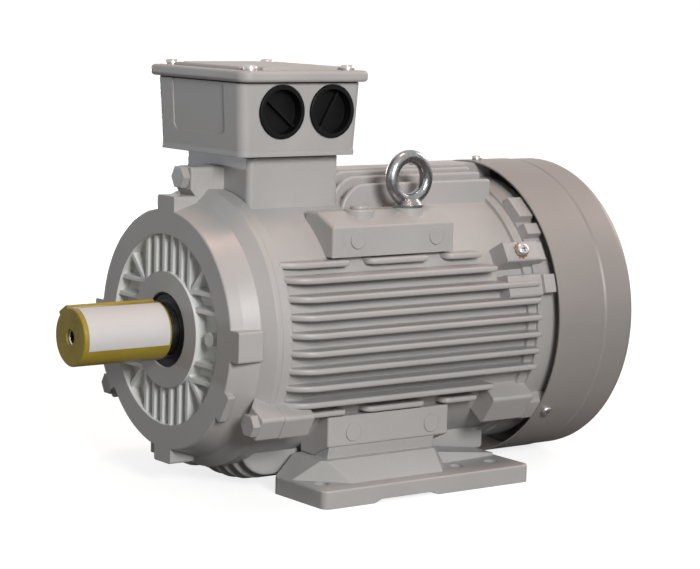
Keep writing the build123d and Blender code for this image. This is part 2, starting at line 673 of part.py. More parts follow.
def rear_bolt_place(shape, angle):
    """A shape drawn along +Z, set on a rear arm with +Z towards the fan."""
    return on_axis(at_angle(angle, placed(shape, (REAR_BOLT_R, Y_ARM_END, 0), (0, 1, 0))))


def cowl_screw_place(shape, angle):
    """A shape drawn along +Z, set on the cowl over a rear arm, pointing outwards."""
    y = Y_COWL_FRONT + COWL_SCREW_AT
    return on_axis(at_angle(angle, placed(shape, (COWL_R, y, 0), (1, 0, 0))))


def rear_bolt_length():
    """Length of a rear shield bolt under its head."""
    return REAR_ARM_LENGTH + REAR_BOLT_GRIP


def frame_housing():
    """The cast frame with its fins, pads, lugs and pedestal."""
    barrel = tube(0, BARREL_R, Y_FRONT_JOINT, Y_REAR_JOINT)
    frame = on_axis(barrel + frame_solids()) + pedestal()
    frame -= on_axis(tube(0, FRAME_BORE_R, Y_FRONT_JOINT - TINY, Y_REAR_JOINT + TINY))
    frame -= pedestal_hollow()
    screw_low = PEDESTAL_TOP - BOX_SCREW_LENGTH
    cuts = drilled(BOX_SCREW_D / 2 + THREAD_GAP, screw_low, PEDESTAL_TOP, box_screw_seats())
    foot_hole_top = PAD_BOTTOM + FOOT_SCREW_LENGTH - FOOT_SCREW_REACH + HOLE_RESERVE
    cuts += drilled(FOOT_SCREW_D / 2 + THREAD_GAP, PAD_BOTTOM, foot_hole_top, foot_screw_seats())
    cuts += drilled(EYE_SHANK_D / 2 + THREAD_GAP, Z_LIFT - LIFT_HOLE_DEPTH, Z_LIFT, lifting_seats())
    for angle in LUG_ANGLES:
        hole = screw_hole(LUG_BOLT_D, LUG_BOLT_LENGTH + HOLE_RESERVE, THREAD_GAP)
        cuts.append(lug_bolt_place(hole, angle))
    for angle in REAR_LUG_ANGLES:
        hole = screw_hole(REAR_BOLT_D, rear_bolt_length() + HOLE_RESERVE, THREAD_GAP)
        cuts.append(rear_bolt_place(hole, angle))
    hole = screw_hole(EARTH_SCREW_D, EARTH_SCREW_LENGTH + HOLE_RESERVE, THREAD_GAP)
    cuts.append(earth_screw_place(hole))
    return frame - cuts


# ---------------------------------------------------------------- feet
def foot_blank():
    """The plate and the raised web of the +X foot, without holes."""
    centre_x, centre_y = (FOOT_INNER_X + FOOT_OUTER_X) / 2, (FOOT_FRONT_Y + FOOT_REAR_Y) / 2
    size_x, size_y = FOOT_OUTER_X - FOOT_INNER_X, FOOT_REAR_Y - FOOT_FRONT_Y
    plate = Pos(centre_x, centre_y, 0) * rounded_plate(size_x, size_y, 0, FOOT_PLATE, FOOT_CORNER_R)
    plate = fillet(plate.faces().sort_by(Axis.Z)[-1].edges(), FOOT_EDGE_R)
    hole_x = FOOT_HOLES_ACROSS / 2
    web_outer = hole_x + FOOT_HOLE_D + 1
    inner = FOOT_INNER_X + 2
    hole_y = -FOOT_HOLES_LONG / 2
    front_y, rear_y = FOOT_FRONT_Y + 2, PAD_REAR_Y - WEB_STEP
    low = [
        (inner, front_y), (inner + WEB_FRONT_WIDTH, front_y), (web_outer, hole_y + WEB_FRONT_SLOPE),
        (web_outer, rear_y - WEB_REAR_SLOPE), (hole_x - FOOT_HOLE_D / 2, rear_y), (inner, rear_y),
    ]
    top_x = PAD_REACH + WEB_STEP
    top_front, top_rear = PAD_FRONT_Y - 2 * WEB_STEP, PAD_REAR_Y - WEB_TOP_INSET
    high = [
        (inner, top_front), (PAD_REACH - 1, top_front), (top_x, top_front + WEB_STEP + 1),
        (top_x, top_rear - WEB_STEP), (PAD_REACH, top_rear), (inner, top_rear),
    ]
    bottom_z = FOOT_PLATE - TINY
    web = loft([
        make_face(Polyline(*[(x, y, bottom_z) for x, y in low], close=True)),
        make_face(Polyline(*[(x, y, PAD_BOTTOM) for x, y in high], close=True)),
    ], ruled=True)
    step = TAIL_SLOPE
    near = foot_rib(PAD_REAR_Y - TAIL_LAP, hole_x - 2 * step, hole_x - 3 * step - 1, PAD_BOTTOM - step)
    far = foot_rib(FOOT_REAR_Y - WEB_STEP, hole_x - 3 * step - 3, hole_x - 4 * step, FOOT_PLATE + 2)
    tail = loft([near, far], ruled=True)
    return plate + web + tail + pad_wedge(top_rear)


def pad_wedge(rear_y):
    """The wedge on the +X foot that fills the space under the pad's sloping side."""
    rise = PAD_SIDE_DROP / (PAD_REACH - PAD_FLAT_X)
    start_x = PAD_FLAT_X + WEDGE_START
    low_x, high_x = PAD_REACH - WEDGE_LOW_INSET, PAD_REACH - WEDGE_HIGH_INSET
    front_y = PAD_FRONT_Y + PAD_EDGE_R
    gap = 2 * SEAT_GAP
    corners = [
        (start_x, PAD_BOTTOM - 1), (low_x, PAD_BOTTOM - 1),
        (high_x, PAD_BOTTOM + rise * (high_x - PAD_FLAT_X) - gap),
        (start_x, PAD_BOTTOM + rise * (start_x - PAD_FLAT_X) - gap),
    ]
    section = make_face(Polyline(*[(x, front_y, z) for x, z in corners], close=True))
    return extrude(section, rear_y - front_y, dir=(0, 1, 0))


def foot_rib(y, low_x, high_x, top_z):
    """A section across the low rib behind the web of the +X foot."""
    inner, bottom_z = FOOT_INNER_X + 2, FOOT_PLATE - TINY
    corners = [(inner, bottom_z), (low_x, bottom_z), (high_x, top_z), (inner, top_z)]
    return make_face(Polyline(*[(x, y, z) for x, z in corners], close=True))


def right_foot():
    """The +X foot, with its three holes and the sunk seats of its own screws."""
    foot = foot_blank()
    relief = make_face(Polyline(
        (FOOT_INNER_X - 1, RELIEF_FRONT_Y, -TINY), (FOOT_INNER_X - 1, RELIEF_FRONT_Y, 0),
        (FOOT_INNER_X - 1, RELIEF_FRONT_Y + RELIEF_SLOPE, RELIEF_DEPTH),
        (FOOT_INNER_X - 1, RELIEF_REAR_Y - RELIEF_SLOPE, RELIEF_DEPTH),
        (FOOT_INNER_X - 1, RELIEF_REAR_Y, 0), (FOOT_INNER_X - 1, RELIEF_REAR_Y, -TINY), close=True
    ))
    foot -= extrude(relief, FOOT_OUTER_X - FOOT_INNER_X + 2, dir=(1, 0, 0))
    for y in (-FOOT_HOLES_LONG / 2, -FOOT_HOLES_LONG / 2 + FOOT_HOLES_SHORT, FOOT_HOLES_LONG / 2):
        foot -= upright(FOOT_HOLE_D / 2, -TINY, PAD_BOTTOM, FOOT_HOLES_ACROSS / 2, y)
    for y in (PAD_HOLE_FRONT_Y, PAD_HOLE_REAR_Y):
        wedge_top = SHAFT_HEIGHT - PAD_SIDE_TOP
        foot -= upright(FOOT_SCREW_D / 2 + BOLT_GAP, -TINY, wedge_top, PAD_HOLE_OFFSET, y)
        foot -= upright(FOOT_SCREW_D * 0.9, -TINY, PAD_BOTTOM - FOOT_SCREW_REACH, PAD_HOLE_OFFSET, y)
    return foot


def foot_screws():
    """Socket screws that hold the feet to the lower pads, from below."""
    seat = PAD_BOTTOM - FOOT_SCREW_REACH
    screw = socket_screw(FOOT_SCREW_D, FOOT_SCREW_LENGTH)
    return [placed(screw, (x, y, seat), (0, 0, -1)) for x, y in foot_screw_seats()]


# ---------------------------------------------------------------- drive-end shield
def face_rib(x):
    """A tapered rib across the shield's face, upright at a distance x from the axis."""
    y0, y1 = Y_FACE + RIB_SETBACK, Y_FACE + FACE_RECESS_DEPTH + TINY
    top, root = RIB_WALL / 2, RIB_ROOT_WALL / 2
    corners = [(x - top, y0), (x + top, y0), (x + root, y1), (x - root, y1)]
    return extrude(Pos(0, 0, -FACE_R) * make_face(Polyline(*corners, close=True)), 2 * FACE_R)


def face_ribs():
    """The ribs that cross the ring-shaped recess of the shield's face."""
    y0, y1 = Y_FACE + RIB_SETBACK, Y_FACE + FACE_RECESS_DEPTH + TINY
    bars = [face_rib(side * step * RIB_PITCH_X) for step in (0.5, 1.5, 2.5) for side in (1, -1)]
    rows = [at_angle(90, face_rib(side * z)) for z in RIB_OFFSETS_Z for side in (1, -1)]
    upright_zone = Rot(0, -45, 0) * (
        block((0, FACE_R), (y0, y1), (0, FACE_R)) + block((-FACE_R, 0), (y0, y1), (-FACE_R, 0))
    )
    level_zone = Rot(0, 90, 0) * upright_zone
    ribs = [bar & upright_zone for bar in bars] + [row & level_zone for row in rows]
    ribs += [at_angle(angle, face_rib(0)) for angle in (45, 135)]
    for angle in (0, 180):
        boss = placed(Cylinder(RIB_BOSS_D / 2, y1 - y0), (RIB_BOSS_R, (y0 + y1) / 2, 0), (0, 1, 0))
        ribs.append(at_angle(angle, boss))
    ring = tube(HUB_RING_R - 1, FACE_RECESS_R + 1, y0, y1)
    return [piece & ring for piece in ribs]


def shield_lug():
    """A bolt lug of the shield at +X, whose front slopes down to the shield's flank."""
    front_y, outer_r = Y_FRONT_JOINT - SHIELD_LUG_LENGTH, LUG_R - LUG_SHORTFALL
    outline = make_face(Polyline(
        (FACE_R - 1, front_y + LUG_SLOPE), (LUG_BOLT_R - LUG_BOLT_D, front_y), (outer_r, front_y),
        (outer_r, Y_FRONT_JOINT), (FACE_R - 1, Y_FRONT_JOINT), close=True
    ))
    lug = extrude(Pos(0, 0, -LUG_WIDTH / 2) * outline, LUG_WIDTH)
    lug = fillet(lug.edges().filter_by(Axis.Y).group_by(Axis.X)[-1], LUG_EDGE_R)
    front = lug.faces().sort_by(Axis.Y)[0]
    return fillet(front.edges(), LUG_EDGE_R - 1.5)


def drive_end_shield():
    """The cast shield that carries the front bearing, with its flat face and ribbed recess."""
    recess_y = Y_FACE + FACE_RECESS_DEPTH
    inner_y = recess_y + SHIELD_WALL
    spigot_r = FRAME_BORE_R - SEAT_GAP
    spigot_y = Y_FRONT_JOINT + SPIGOT_LENGTH
    hub_r = FRONT_BEARING_D / 2 + REAR_HUB_WALL
    seat_r = FRONT_BEARING_D / 2 + SEAT_GAP
    groove_r = FRONT_BEARING_D / 2 + RETAINER_GROOVE
    groove_y = Y_FRONT_BEARING_END + SEAT_GAP
    hub_y = groove_y + RETAINER_WALL + 2.0
    seal_r = SEAL_D / 2 + SEAT_GAP
    body = turned([
        (seal_r, Y_FACE), (HUB_RING_R, Y_FACE), (HUB_RING_R, recess_y), (FACE_RECESS_R, recess_y),
        (FACE_RECESS_R, Y_FACE), (FACE_R - FACE_CHAMFER, Y_FACE), (FACE_R, Y_FACE + FACE_CHAMFER),
        (FACE_R + RIM_DRAFT, recess_y), (FACE_R + RIM_FLARE, Y_FACE + RIM_FLARE_AT),
        (COLLAR_R - BEAD_SLOPE, Y_FRONT_JOINT - BEAD_LENGTH - BEAD_SLOPE),
        (COLLAR_R, Y_FRONT_JOINT - BEAD_LENGTH),
        (COLLAR_R, Y_FRONT_JOINT), (spigot_r, Y_FRONT_JOINT), (spigot_r, spigot_y),
        (spigot_r - SPIGOT_WALL, spigot_y), (spigot_r - SPIGOT_WALL, Y_FRONT_JOINT),
        (FACE_R - SHELL_INSET + SHELL_STEP, inner_y + SHELL_STEP),
        (FACE_R - SHELL_INSET, inner_y), (hub_r, inner_y), (hub_r, hub_y), (seat_r, hub_y),
        (seat_r, groove_y + RETAINER_WALL + SEAT_GAP), (groove_r, groove_y + RETAINER_WALL + SEAT_GAP),
        (groove_r, groove_y), (seat_r, groove_y), (seat_r, Y_FRONT_BEARING), (seal_r, Y_FRONT_BEARING),
    ])
    tabs = []
    tab = radial_block(FACE_R - 12, TAB_R, TAB_WIDTH, Y_FACE, Y_FACE + TAB_LENGTH, 2.0)
    tabs += [at_angle(angle, tab) for angle in (0, 90, 180, 270)]
    small = radial_block(FACE_R - 12, BOLT_TAB_R, TAB_WIDTH, Y_FACE, Y_FACE + BOLT_TAB_LENGTH, 1.5)
    lug = shield_lug()
    for angle in LUG_ANGLES:
        tabs += [at_angle(angle, small), at_angle(angle, lug)]
    shield = on_axis(body + tabs + face_ribs())
    hole = screw_hole(LUG_BOLT_D, LUG_LENGTH, BOLT_GAP)
    return shield - [lug_bolt_place(hole, angle) for angle in LUG_ANGLES]


def drive_end_bolts():
    """The screws that hold the drive-end shield."""
    screw = hex_screw(LUG_BOLT_D, LUG_BOLT_LENGTH)
    return [lug_bolt_place(screw, angle) for angle in LUG_ANGLES]


def drive_end_seal():
    """The rubber shaft seal in the shield's hub."""
    y0, y1 = Y_FACE + SEAL_SETBACK, Y_FACE + SEAL_SETBACK + SEAL_LENGTH
    lip_r, outer_r = JOURNAL_R + RUN_GAP, SEAL_D / 2
    return on_axis(turned([
        (lip_r, y0 + 1.5), (lip_r + 2.5, y0 + 0.4), (lip_r + 4.0, y0 + 1.2), (outer_r - 2.2, y0 + 1.2),
        (outer_r - 1.2, y0), (outer_r, y0), (outer_r, y1), (outer_r - 2.0, y1), (outer_r - 2.0, y0 + 3.0),
        (lip_r + 3.0, y0 + 3.0), (lip_r + 1.5, y1 - 1.5), (lip_r, y1 - 2.0),
    ]))


# ---------------------------------------------------------------- non-drive-end shield
def non_drive_end_shield():
    """The cast shield at the fan end, with the arms that carry the cowl."""
    spigot_r = FRAME_BORE_R - SEAT_GAP
    spigot_y = Y_REAR_JOINT - SPIGOT_LENGTH
    rim_y = Y_REAR_JOINT + REAR_RIM_LENGTH
    web_y = Y_REAR_JOINT + REAR_WEB_START
    seat_r = REAR_BEARING_D / 2 + SEAT_GAP
    hub_r = seat_r + REAR_HUB_WALL
    bore_r = FAN_SEAT_R + 3.0
    seat_end = Y_REAR_BEARING_END + SPRING_ROOM
    body = turned([
        (spigot_r - SPIGOT_WALL, spigot_y), (spigot_r, spigot_y), (spigot_r, Y_REAR_JOINT),
        (REAR_RIM_R, Y_REAR_JOINT), (REAR_RIM_R, rim_y), (REAR_RIM_R - REAR_RIM_WALL, rim_y),
        (REAR_RIM_R - REAR_RIM_WALL - 2, web_y + SHIELD_WALL), (hub_r + 4, web_y + SHIELD_WALL + 4),
        (hub_r, Y_REAR_HUB_END), (bore_r, Y_REAR_HUB_END), (bore_r, seat_end), (seat_r, seat_end),
        (seat_r, Y_REAR_BEARING - 1), (hub_r, Y_REAR_BEARING - 1), (hub_r, web_y),
        (spigot_r - SPIGOT_WALL, web_y - 2),
    ])
    half = REAR_ARM_WIDTH / 2
    arm = radial_block(REAR_RIM_R - REAR_RIM_WALL, ARM_R, REAR_ARM_WIDTH, Y_REAR_JOINT, Y_ARM_END, 1.0)
    arm += block((spigot_r - SPIGOT_WALL, REAR_RIM_R), (web_y, Y_ARM_END), (-half, half))
    parts = [at_angle(angle, arm) for angle in REAR_LUG_ANGLES]
    rest_y = (Y_REAR_JOINT, Y_REAR_JOINT + REST_LENGTH)
    rest = radial_block(REAR_RIM_R - 2, ARM_R, REST_WIDTH - 4, *rest_y, 1.0)
    parts += [at_angle(REST_ANGLE, rest), at_angle(180 - REST_ANGLE, rest)]
    for angle, width in RIM_BLOCKS:
        block_r = REAR_RIM_R + RIM_BLOCK_RISE
        block_y = (Y_REAR_JOINT, Y_REAR_JOINT + RIM_BLOCK_LENGTH)
        piece = radial_block(REAR_RIM_R - 2, block_r, width, *block_y, 1.0)
        parts += [at_angle(angle, piece), at_angle(180 - angle, piece)]
    parts = [part & tube(0, ARM_R, Y_REAR_JOINT, Y_ARM_END) for part in parts]
    rib = block((seat_r + 4, FRAME_BORE_R), (web_y + SHIELD_WALL - 2, web_y + SHIELD_WALL + 5), (-2, 2))
    parts += [at_angle(angle, rib) for angle in range(0, 360, 45)]
    shield = on_axis(body + parts)
    for angle in REAR_LUG_ANGLES:
        shield -= rear_bolt_place(screw_hole(REAR_BOLT_D, REAR_ARM_LENGTH + TINY, BOLT_GAP), angle)
        shield -= cowl_screw_place(screw_hole(COWL_SCREW_D, COWL_SCREW_LENGTH + 1.0, THREAD_GAP), angle)
    return shield


def non_drive_end_bolts():
    """The long screws that hold the fan-end shield."""
    screw = hex_screw(REAR_BOLT_D, rear_bolt_length())
    return [rear_bolt_place(screw, angle) for angle in REAR_LUG_ANGLES]


# ---------------------------------------------------------------- bearings
def pitch_r(outer_d):
    """Radius of the circle on which a bearing's balls run."""
    return (BEARING_BORE + outer_d) / 4


def race_cut(outer_d, ball_d, y_mid):
    """The round groove that the balls run in."""
    groove = Pos(pitch_r(outer_d), y_mid) * Circle(ball_d / 2 + BALL_GAP)
    return revolve(groove, Axis.Y)


def outer_ring(outer_d, width, ball_d, y_start):
    """A bearing's outer ring."""
    inner = pitch_r(outer_d) + ball_d * RACE_SHOULDER
    ring = tube(inner, outer_d / 2, y_start, y_start + width)
    return on_axis(ring - race_cut(outer_d, ball_d, y_start + width / 2))


def inner_ring(outer_d, width, ball_d, y_start):
    """A bearing's inner ring."""
    outer = pitch_r(outer_d) - ball_d * RACE_SHOULDER
    ring = tube(BEARING_BORE / 2 + SEAT_GAP, outer, y_start, y_start + width)
    return on_axis(ring - race_cut(outer_d, ball_d, y_start + width / 2))


def balls(outer_d, width, ball_d, count, y_start):
    """A bearing's balls."""
    ball = Pos(pitch_r(outer_d), y_start + width / 2, 0) * Sphere(ball_d / 2)
    return [on_axis(at_angle(360 * k / count, ball)) for k in range(count)]


def ball_cage(outer_d, width, ball_d, count, y_start):
    """The ring that keeps a bearing's balls apart."""
    wall, half = ball_d * CAGE_WALL_SHARE, ball_d * CAGE_WIDTH_SHARE / 2
    middle, y_mid = pitch_r(outer_d), y_start + width / 2
    cage = tube(middle - wall / 2, middle + wall / 2, y_mid - half, y_mid + half)
    pocket = placed(Cylinder(ball_d / 2 + CAGE_GAP, wall * 2), (middle, y_mid, 0), (1, 0, 0))
    return on_axis(cage - [at_angle(360 * k / count, pocket) for k in range(count)])


def open_ring(inner_r, outer_r, y_start, y_end, gap_angle):
    """A retaining ring, open over an angle about +X."""
    ring = tube(inner_r, outer_r, y_start, y_end)
    reach = outer_r * 1.1
    half = math.radians(gap_angle / 2)
    wedge = make_face(Polyline(
        (0, y_start - 1, 0), (reach, y_start - 1, reach * math.tan(half)),
        (reach, y_start - 1, -reach * math.tan(half)), close=True
    ))
    return ring - extrude(wedge, y_end - y_start + 2, dir=(0, 1, 0))


def bearing_retainer():
    """The ring that keeps the drive-end bearing in its hub."""
    y0 = Y_FRONT_BEARING_END + SEAT_GAP * 2
    outer = FRONT_BEARING_D / 2 + RETAINER_GROOVE - SEAT_GAP
    inner = FRONT_BEARING_D / 2 - RETAINER_REACH
    return on_axis(open_ring(inner, outer, y0, y0 + RETAINER_WALL - SEAT_GAP, 30))


def preload_spring():
    """The wave spring between the fan-end bearing and its shield."""
    outer = REAR_BEARING_D / 2 - 0.4
    middle = Y_REAR_BEARING_END + SPRING_ROOM / 2
    swing = (SPRING_ROOM - SPRING_THICKNESS) / 2 - 0.05
    sections = []
    for k in range(SPRING_STEPS + 1):
        angle = 360 * k / SPRING_STEPS
        y = middle + swing * math.cos(math.radians(angle) * SPRING_WAVES)
        section = Pos(outer - SPRING_WIDTH / 2, y) * Rectangle(SPRING_WIDTH, SPRING_THICKNESS)
        sections.append(at_angle(angle, section))
    pieces = [loft([a, b], ruled=True) for a, b in zip(sections[:-1], sections[1:])]
    return on_axis(pieces[0] + pieces[1:])


# ---------------------------------------------------------------- stator
def slot_space(clearance, y_start, y_end):
    """The space of one stator slot at +X, narrowed all round by a clearance."""
    bore_r = STATOR_BORE_D / 2
    half = SLOT_WIDTH / 2 - clearance
    inner, outer = bore_r + SLOT_LIP + clearance, bore_r + SLOT_LIP + SLOT_DEPTH - clearance
    return block((inner, outer), (y_start, y_end), (-half, half))


def stator_core():
    """The slotted lamination pack."""
    bore_r = STATOR_BORE_D / 2
    core = tube(bore_r, STATOR_D / 2, Y_CORE_FRONT, Y_CORE_REAR)
    reach = (Y_CORE_FRONT - 1, Y_CORE_REAR + 1)
    mouth = block((bore_r - 1, bore_r + SLOT_LIP + 1), reach, (-SLOT_MOUTH / 2, SLOT_MOUTH / 2))
    slot = slot_space(0, *reach) + mouth
    return on_axis(core - [at_angle(360 * k / SLOT_COUNT, slot) for k in range(SLOT_COUNT)])


def end_turns(y_core, away):
    """The padded ring of winding ends beside the core; away is -1 or 1 along Y."""
    inner = STATOR_BORE_D / 2 + WINDING_GAP
    outer = inner + WINDING_WALL
    near, far = y_core + away * 1.0, y_core + away * WINDING_OVERHANG
    return turned([(inner, near), (outer, near), (outer, far - away * 8), (outer - 4, far), (inner + 4, far),
                   (inner, far - away * 8)])


def stator_windings():
    """The windings: a bar in each slot, joined by the end turns."""
    bar = slot_space(SLOT_LINER, Y_CORE_FRONT - 4, Y_CORE_REAR + 4)
    bars = [at_angle(360 * k / SLOT_COUNT, bar) for k in range(SLOT_COUNT)]
    front, rear = end_turns(Y_CORE_FRONT, -1), end_turns(Y_CORE_REAR, 1)
    return on_axis(front + bars + [rear])


def winding_leads():
    """The lead wires, from the end turns up through the throat to the terminal board."""
    top = board_levels()[0] - 1.0
    coil_r = STATOR_BORE_D / 2 + WINDING_GAP + WINDING_WALL + SEAT_GAP
    coil = on_axis(tube(0, coil_r, Y_FRONT_JOINT, Y_CORE_FRONT))
    step = THROAT_X / (LEAD_COUNT + 1)
    places = [(k + 1) * step - THROAT_X / 2 for k in range(LEAD_COUNT)]
    return [upright(LEAD_D / 2, SHAFT_HEIGHT + coil_r - 5.0, top, x, THROAT_CENTRE_Y) - coil for x in places]


# ---------------------------------------------------------------- rotor
def keyway():
    """The keyway at +X as a solid to cut away, with round ends."""
    margin = (SHAFT_END_LENGTH - KEYWAY_LENGTH) / 2
    start, end = Y_TIP + margin + KEY_WIDTH / 2, Y_SHOULDER - margin - KEY_WIDTH / 2
    floor, top, half = SHAFT_END_R - KEYWAY_DEPTH, SHAFT_END_R + 2, KEY_WIDTH / 2
    slot = block((floor, top), (start, end), (-half, half))
    return slot + [placed(upright(half, 0, top - floor), (floor, y, 0), (1, 0, 0)) for y in (start, end)]


def shaft():
    """The stepped shaft with its keyway and centre thread."""
    seat_r, body_r = CORE_SEAT_D / 2, SHAFT_BODY_R
    fan_end = fan_start() + FAN_HUB_LENGTH + FAN_RING_WALL + 5.0
    groove_y = fan_start() + FAN_HUB_LENGTH + SEAT_GAP
    groove_end = groove_y + FAN_RING_WALL + SEAT_GAP
    groove_r = FAN_SEAT_R - RETAINER_GROOVE
    seat_start, seat_end = Y_CORE_FRONT - CORE_SEAT_EXTRA, Y_CORE_REAR + CORE_SEAT_EXTRA
    rod = turned([
        (0, Y_TIP), (SHAFT_END_R - 1, Y_TIP), (SHAFT_END_R, Y_TIP + 1), (SHAFT_END_R, Y_SHOULDER),
        (JOURNAL_R, Y_SHOULDER), (JOURNAL_R, Y_FRONT_BEARING_END), (body_r, Y_FRONT_BEARING_END),
        (body_r, seat_start), (seat_r, seat_start), (seat_r, seat_end), (body_r, seat_end),
        (body_r, Y_REAR_BEARING), (JOURNAL_R, Y_REAR_BEARING), (JOURNAL_R, Y_REAR_BEARING_END + 1),
        (FAN_SEAT_R, Y_REAR_BEARING_END + 1), (FAN_SEAT_R, groove_y), (groove_r, groove_y),
        (groove_r, groove_end), (FAN_SEAT_R, groove_end), (FAN_SEAT_R, fan_end - 1),
        (FAN_SEAT_R - 1, fan_end), (0, fan_end),
    ])
    rod -= keyway()
    drill_r = CENTRE_THREAD_D / 2
    rod -= turned([(0, Y_TIP - 1), (drill_r + 1, Y_TIP - 1), (drill_r + 1, Y_TIP), (drill_r, Y_TIP + 1),
                   (drill_r, Y_TIP + CENTRE_THREAD_DEPTH), (0, Y_TIP + CENTRE_THREAD_DEPTH + drill_r / 2)])
    return on_axis(at_angle(KEYWAY_ANGLE, rod))


def rotor_core():
    """The rotor's lamination pack, with the holes of the cage bars."""
    core = tube(CORE_SEAT_D / 2 + SEAT_GAP, ROTOR_R, Y_CORE_FRONT, Y_CORE_REAR)
    hole = cage_bar(CAGE_BAR_D / 2 + SEAT_GAP, Y_CORE_FRONT - 1, Y_CORE_REAR + 1)
    return on_axis(core - [at_angle(360 * k / CAGE_BARS, hole) for k in range(CAGE_BARS)])


def cage_bar(radius, y_start, y_end):
    """A round bar of the cage at +X."""
    middle = (ROTOR_R - CAGE_BAR_INSET, (y_start + y_end) / 2, 0)
    return placed(Cylinder(radius, y_end - y_start), middle, (0, 1, 0))


def rotor_cage():
    """The cast cage: bars, end rings and their blades."""
    bar = cage_bar(CAGE_BAR_D / 2, Y_CORE_FRONT - 2, Y_CORE_REAR + 2)
    bars = [at_angle(360 * k / CAGE_BARS, bar) for k in range(CAGE_BARS)]
    outer = ROTOR_R - 1.0
    inner = outer - CAGE_RING_WALL
    rings = []
    for core_y, away in ((Y_CORE_FRONT, -1), (Y_CORE_REAR, 1)):
        near = core_y + away * SEAT_GAP
        far = near + away * CAGE_RING_LENGTH
        rings.append(tube(inner, outer, near, far))
        blade = block((inner + 3, outer - 3), sorted((far - away, far + away * CAGE_BLADE_LENGTH)),
                      (-CAGE_BLADE_WALL / 2, CAGE_BLADE_WALL / 2))
        rings += [at_angle(360 * k / CAGE_BLADES, blade) for k in range(CAGE_BLADES)]
    return on_axis(rings[0] + rings[1:] + bars)


def fan_start():
    """Where the fan's hub begins along Y."""
    return Y_ARM_END + REAR_BOLT_D * 0.65 + FAN_TO_BOLTS


def cooling_fan():
    """The fan: a hub, a round back plate and straight blades."""
    y0 = fan_start()
    hub = tube(FAN_SEAT_R + SEAT_GAP, FAN_HUB_D / 2, y0, y0 + FAN_HUB_LENGTH)
    plate = tube(FAN_HUB_D / 2 - 1, FAN_R - FAN_TIP_CUT, y0, y0 + FAN_WALL)
    outline = make_face(Polyline(
        (FAN_HUB_D / 2 - 1, y0, -FAN_WALL / 2), (FAN_R - FAN_TIP_CUT, y0, -FAN_WALL / 2),
        (FAN_R, y0 + FAN_TIP_CUT, -FAN_WALL / 2), (FAN_R, y0 + FAN_BLADE_DEPTH, -FAN_WALL / 2),
        (FAN_HUB_D / 2 + 12, y0 + FAN_BLADE_DEPTH, -FAN_WALL / 2),
        (FAN_HUB_D / 2 - 1, y0 + FAN_HUB_LENGTH - 3, -FAN_WALL / 2), close=True
    ))
    blade = extrude(outline, FAN_WALL, dir=(0, 0, 1))
    return on_axis(hub + [plate] + [at_angle(360 * k / FAN_BLADES, blade) for k in range(FAN_BLADES)])


def fan_retainer():
    """The ring that keeps the fan on the shaft."""
    y0 = fan_start() + FAN_HUB_LENGTH + SEAT_GAP * 2
    inner = FAN_SEAT_R - RETAINER_GROOVE + SEAT_GAP
    return on_axis(open_ring(inner, FAN_SEAT_R + 3.0, y0, y0 + FAN_RING_WALL - SEAT_GAP, 40))


def rear_seal():
    """The V-shaped ring that turns with the shaft in front of the fan-end hub."""
    y0 = Y_REAR_HUB_END + RUN_GAP
    inner, outer = FAN_SEAT_R + SEAT_GAP, REAR_SEAL_D / 2
    return on_axis(turned([
        (inner, y0 + 1.5), (inner + 2.5, y0 + 1.5), (outer - 1, y0), (outer, y0 + 0.6),
        (inner + 4.0, y0 + 3.0),
        (inner + 4.0, y0 + REAR_SEAL_LENGTH), (inner, y0 + REAR_SEAL_LENGTH),
    ]))


def shaft_cap():
    """The plastic cap that protects the shaft end, with a ridge over the key."""
    bore_r = CAP_BORE_D / 2
    outer_r = bore_r + CAP_WALL
    y_end = Y_SHOULDER - CAP_SHORT_OF_SHOULDER
    y_inside = Y_TIP - RUN_GAP
    y_outside = y_inside - CAP_END_WALL
    shell = turned([
        (CAP_HOLE_D / 2, y_outside), (outer_r - 1, y_outside), (outer_r, y_outside + 1), (outer_r, y_end),
        (bore_r, y_end), (bore_r, y_inside), (CAP_HOLE_D / 2, y_inside),
    ])
    half = CAP_RIDGE_WIDTH / 2
    ridge = block((bore_r + 0.2, outer_r + CAP_RIDGE_RISE), (y_outside, y_end), (-half, half))
    ridge = fillet(ridge.edges().filter_by(Axis.Y).group_by(Axis.X)[-1], 1.2)
    pocket_half = KEY_WIDTH / 2 + BOLT_GAP
    pocket = block((bore_r - 2, bore_r + CAP_POCKET), (y_inside, y_end + 1), (-pocket_half, pocket_half))
    return on_axis(shell + at_angle(KEYWAY_ANGLE, ridge) - at_angle(KEYWAY_ANGLE, pocket))


# ---------------------------------------------------------------- cowl
def grille_slots():
    """The curved slots of the cowl's rear wall, as a flat pattern about the axis."""
    pitch = (GRILLE_OUTER_R - GRILLE_INNER_R) / GRILLE_RINGS
    slots = []
    for k in range(GRILLE_RINGS):
        inner = GRILLE_INNER_R + k * pitch + GRILLE_BAR / 2
        outer = GRILLE_INNER_R + (k + 1) * pitch - GRILLE_BAR / 2
        ring = tube(inner, outer, Y_COWL_REAR - COWL_SHEET - 1, Y_COWL_REAR + 1)
        slots.append(ring)
    return slots


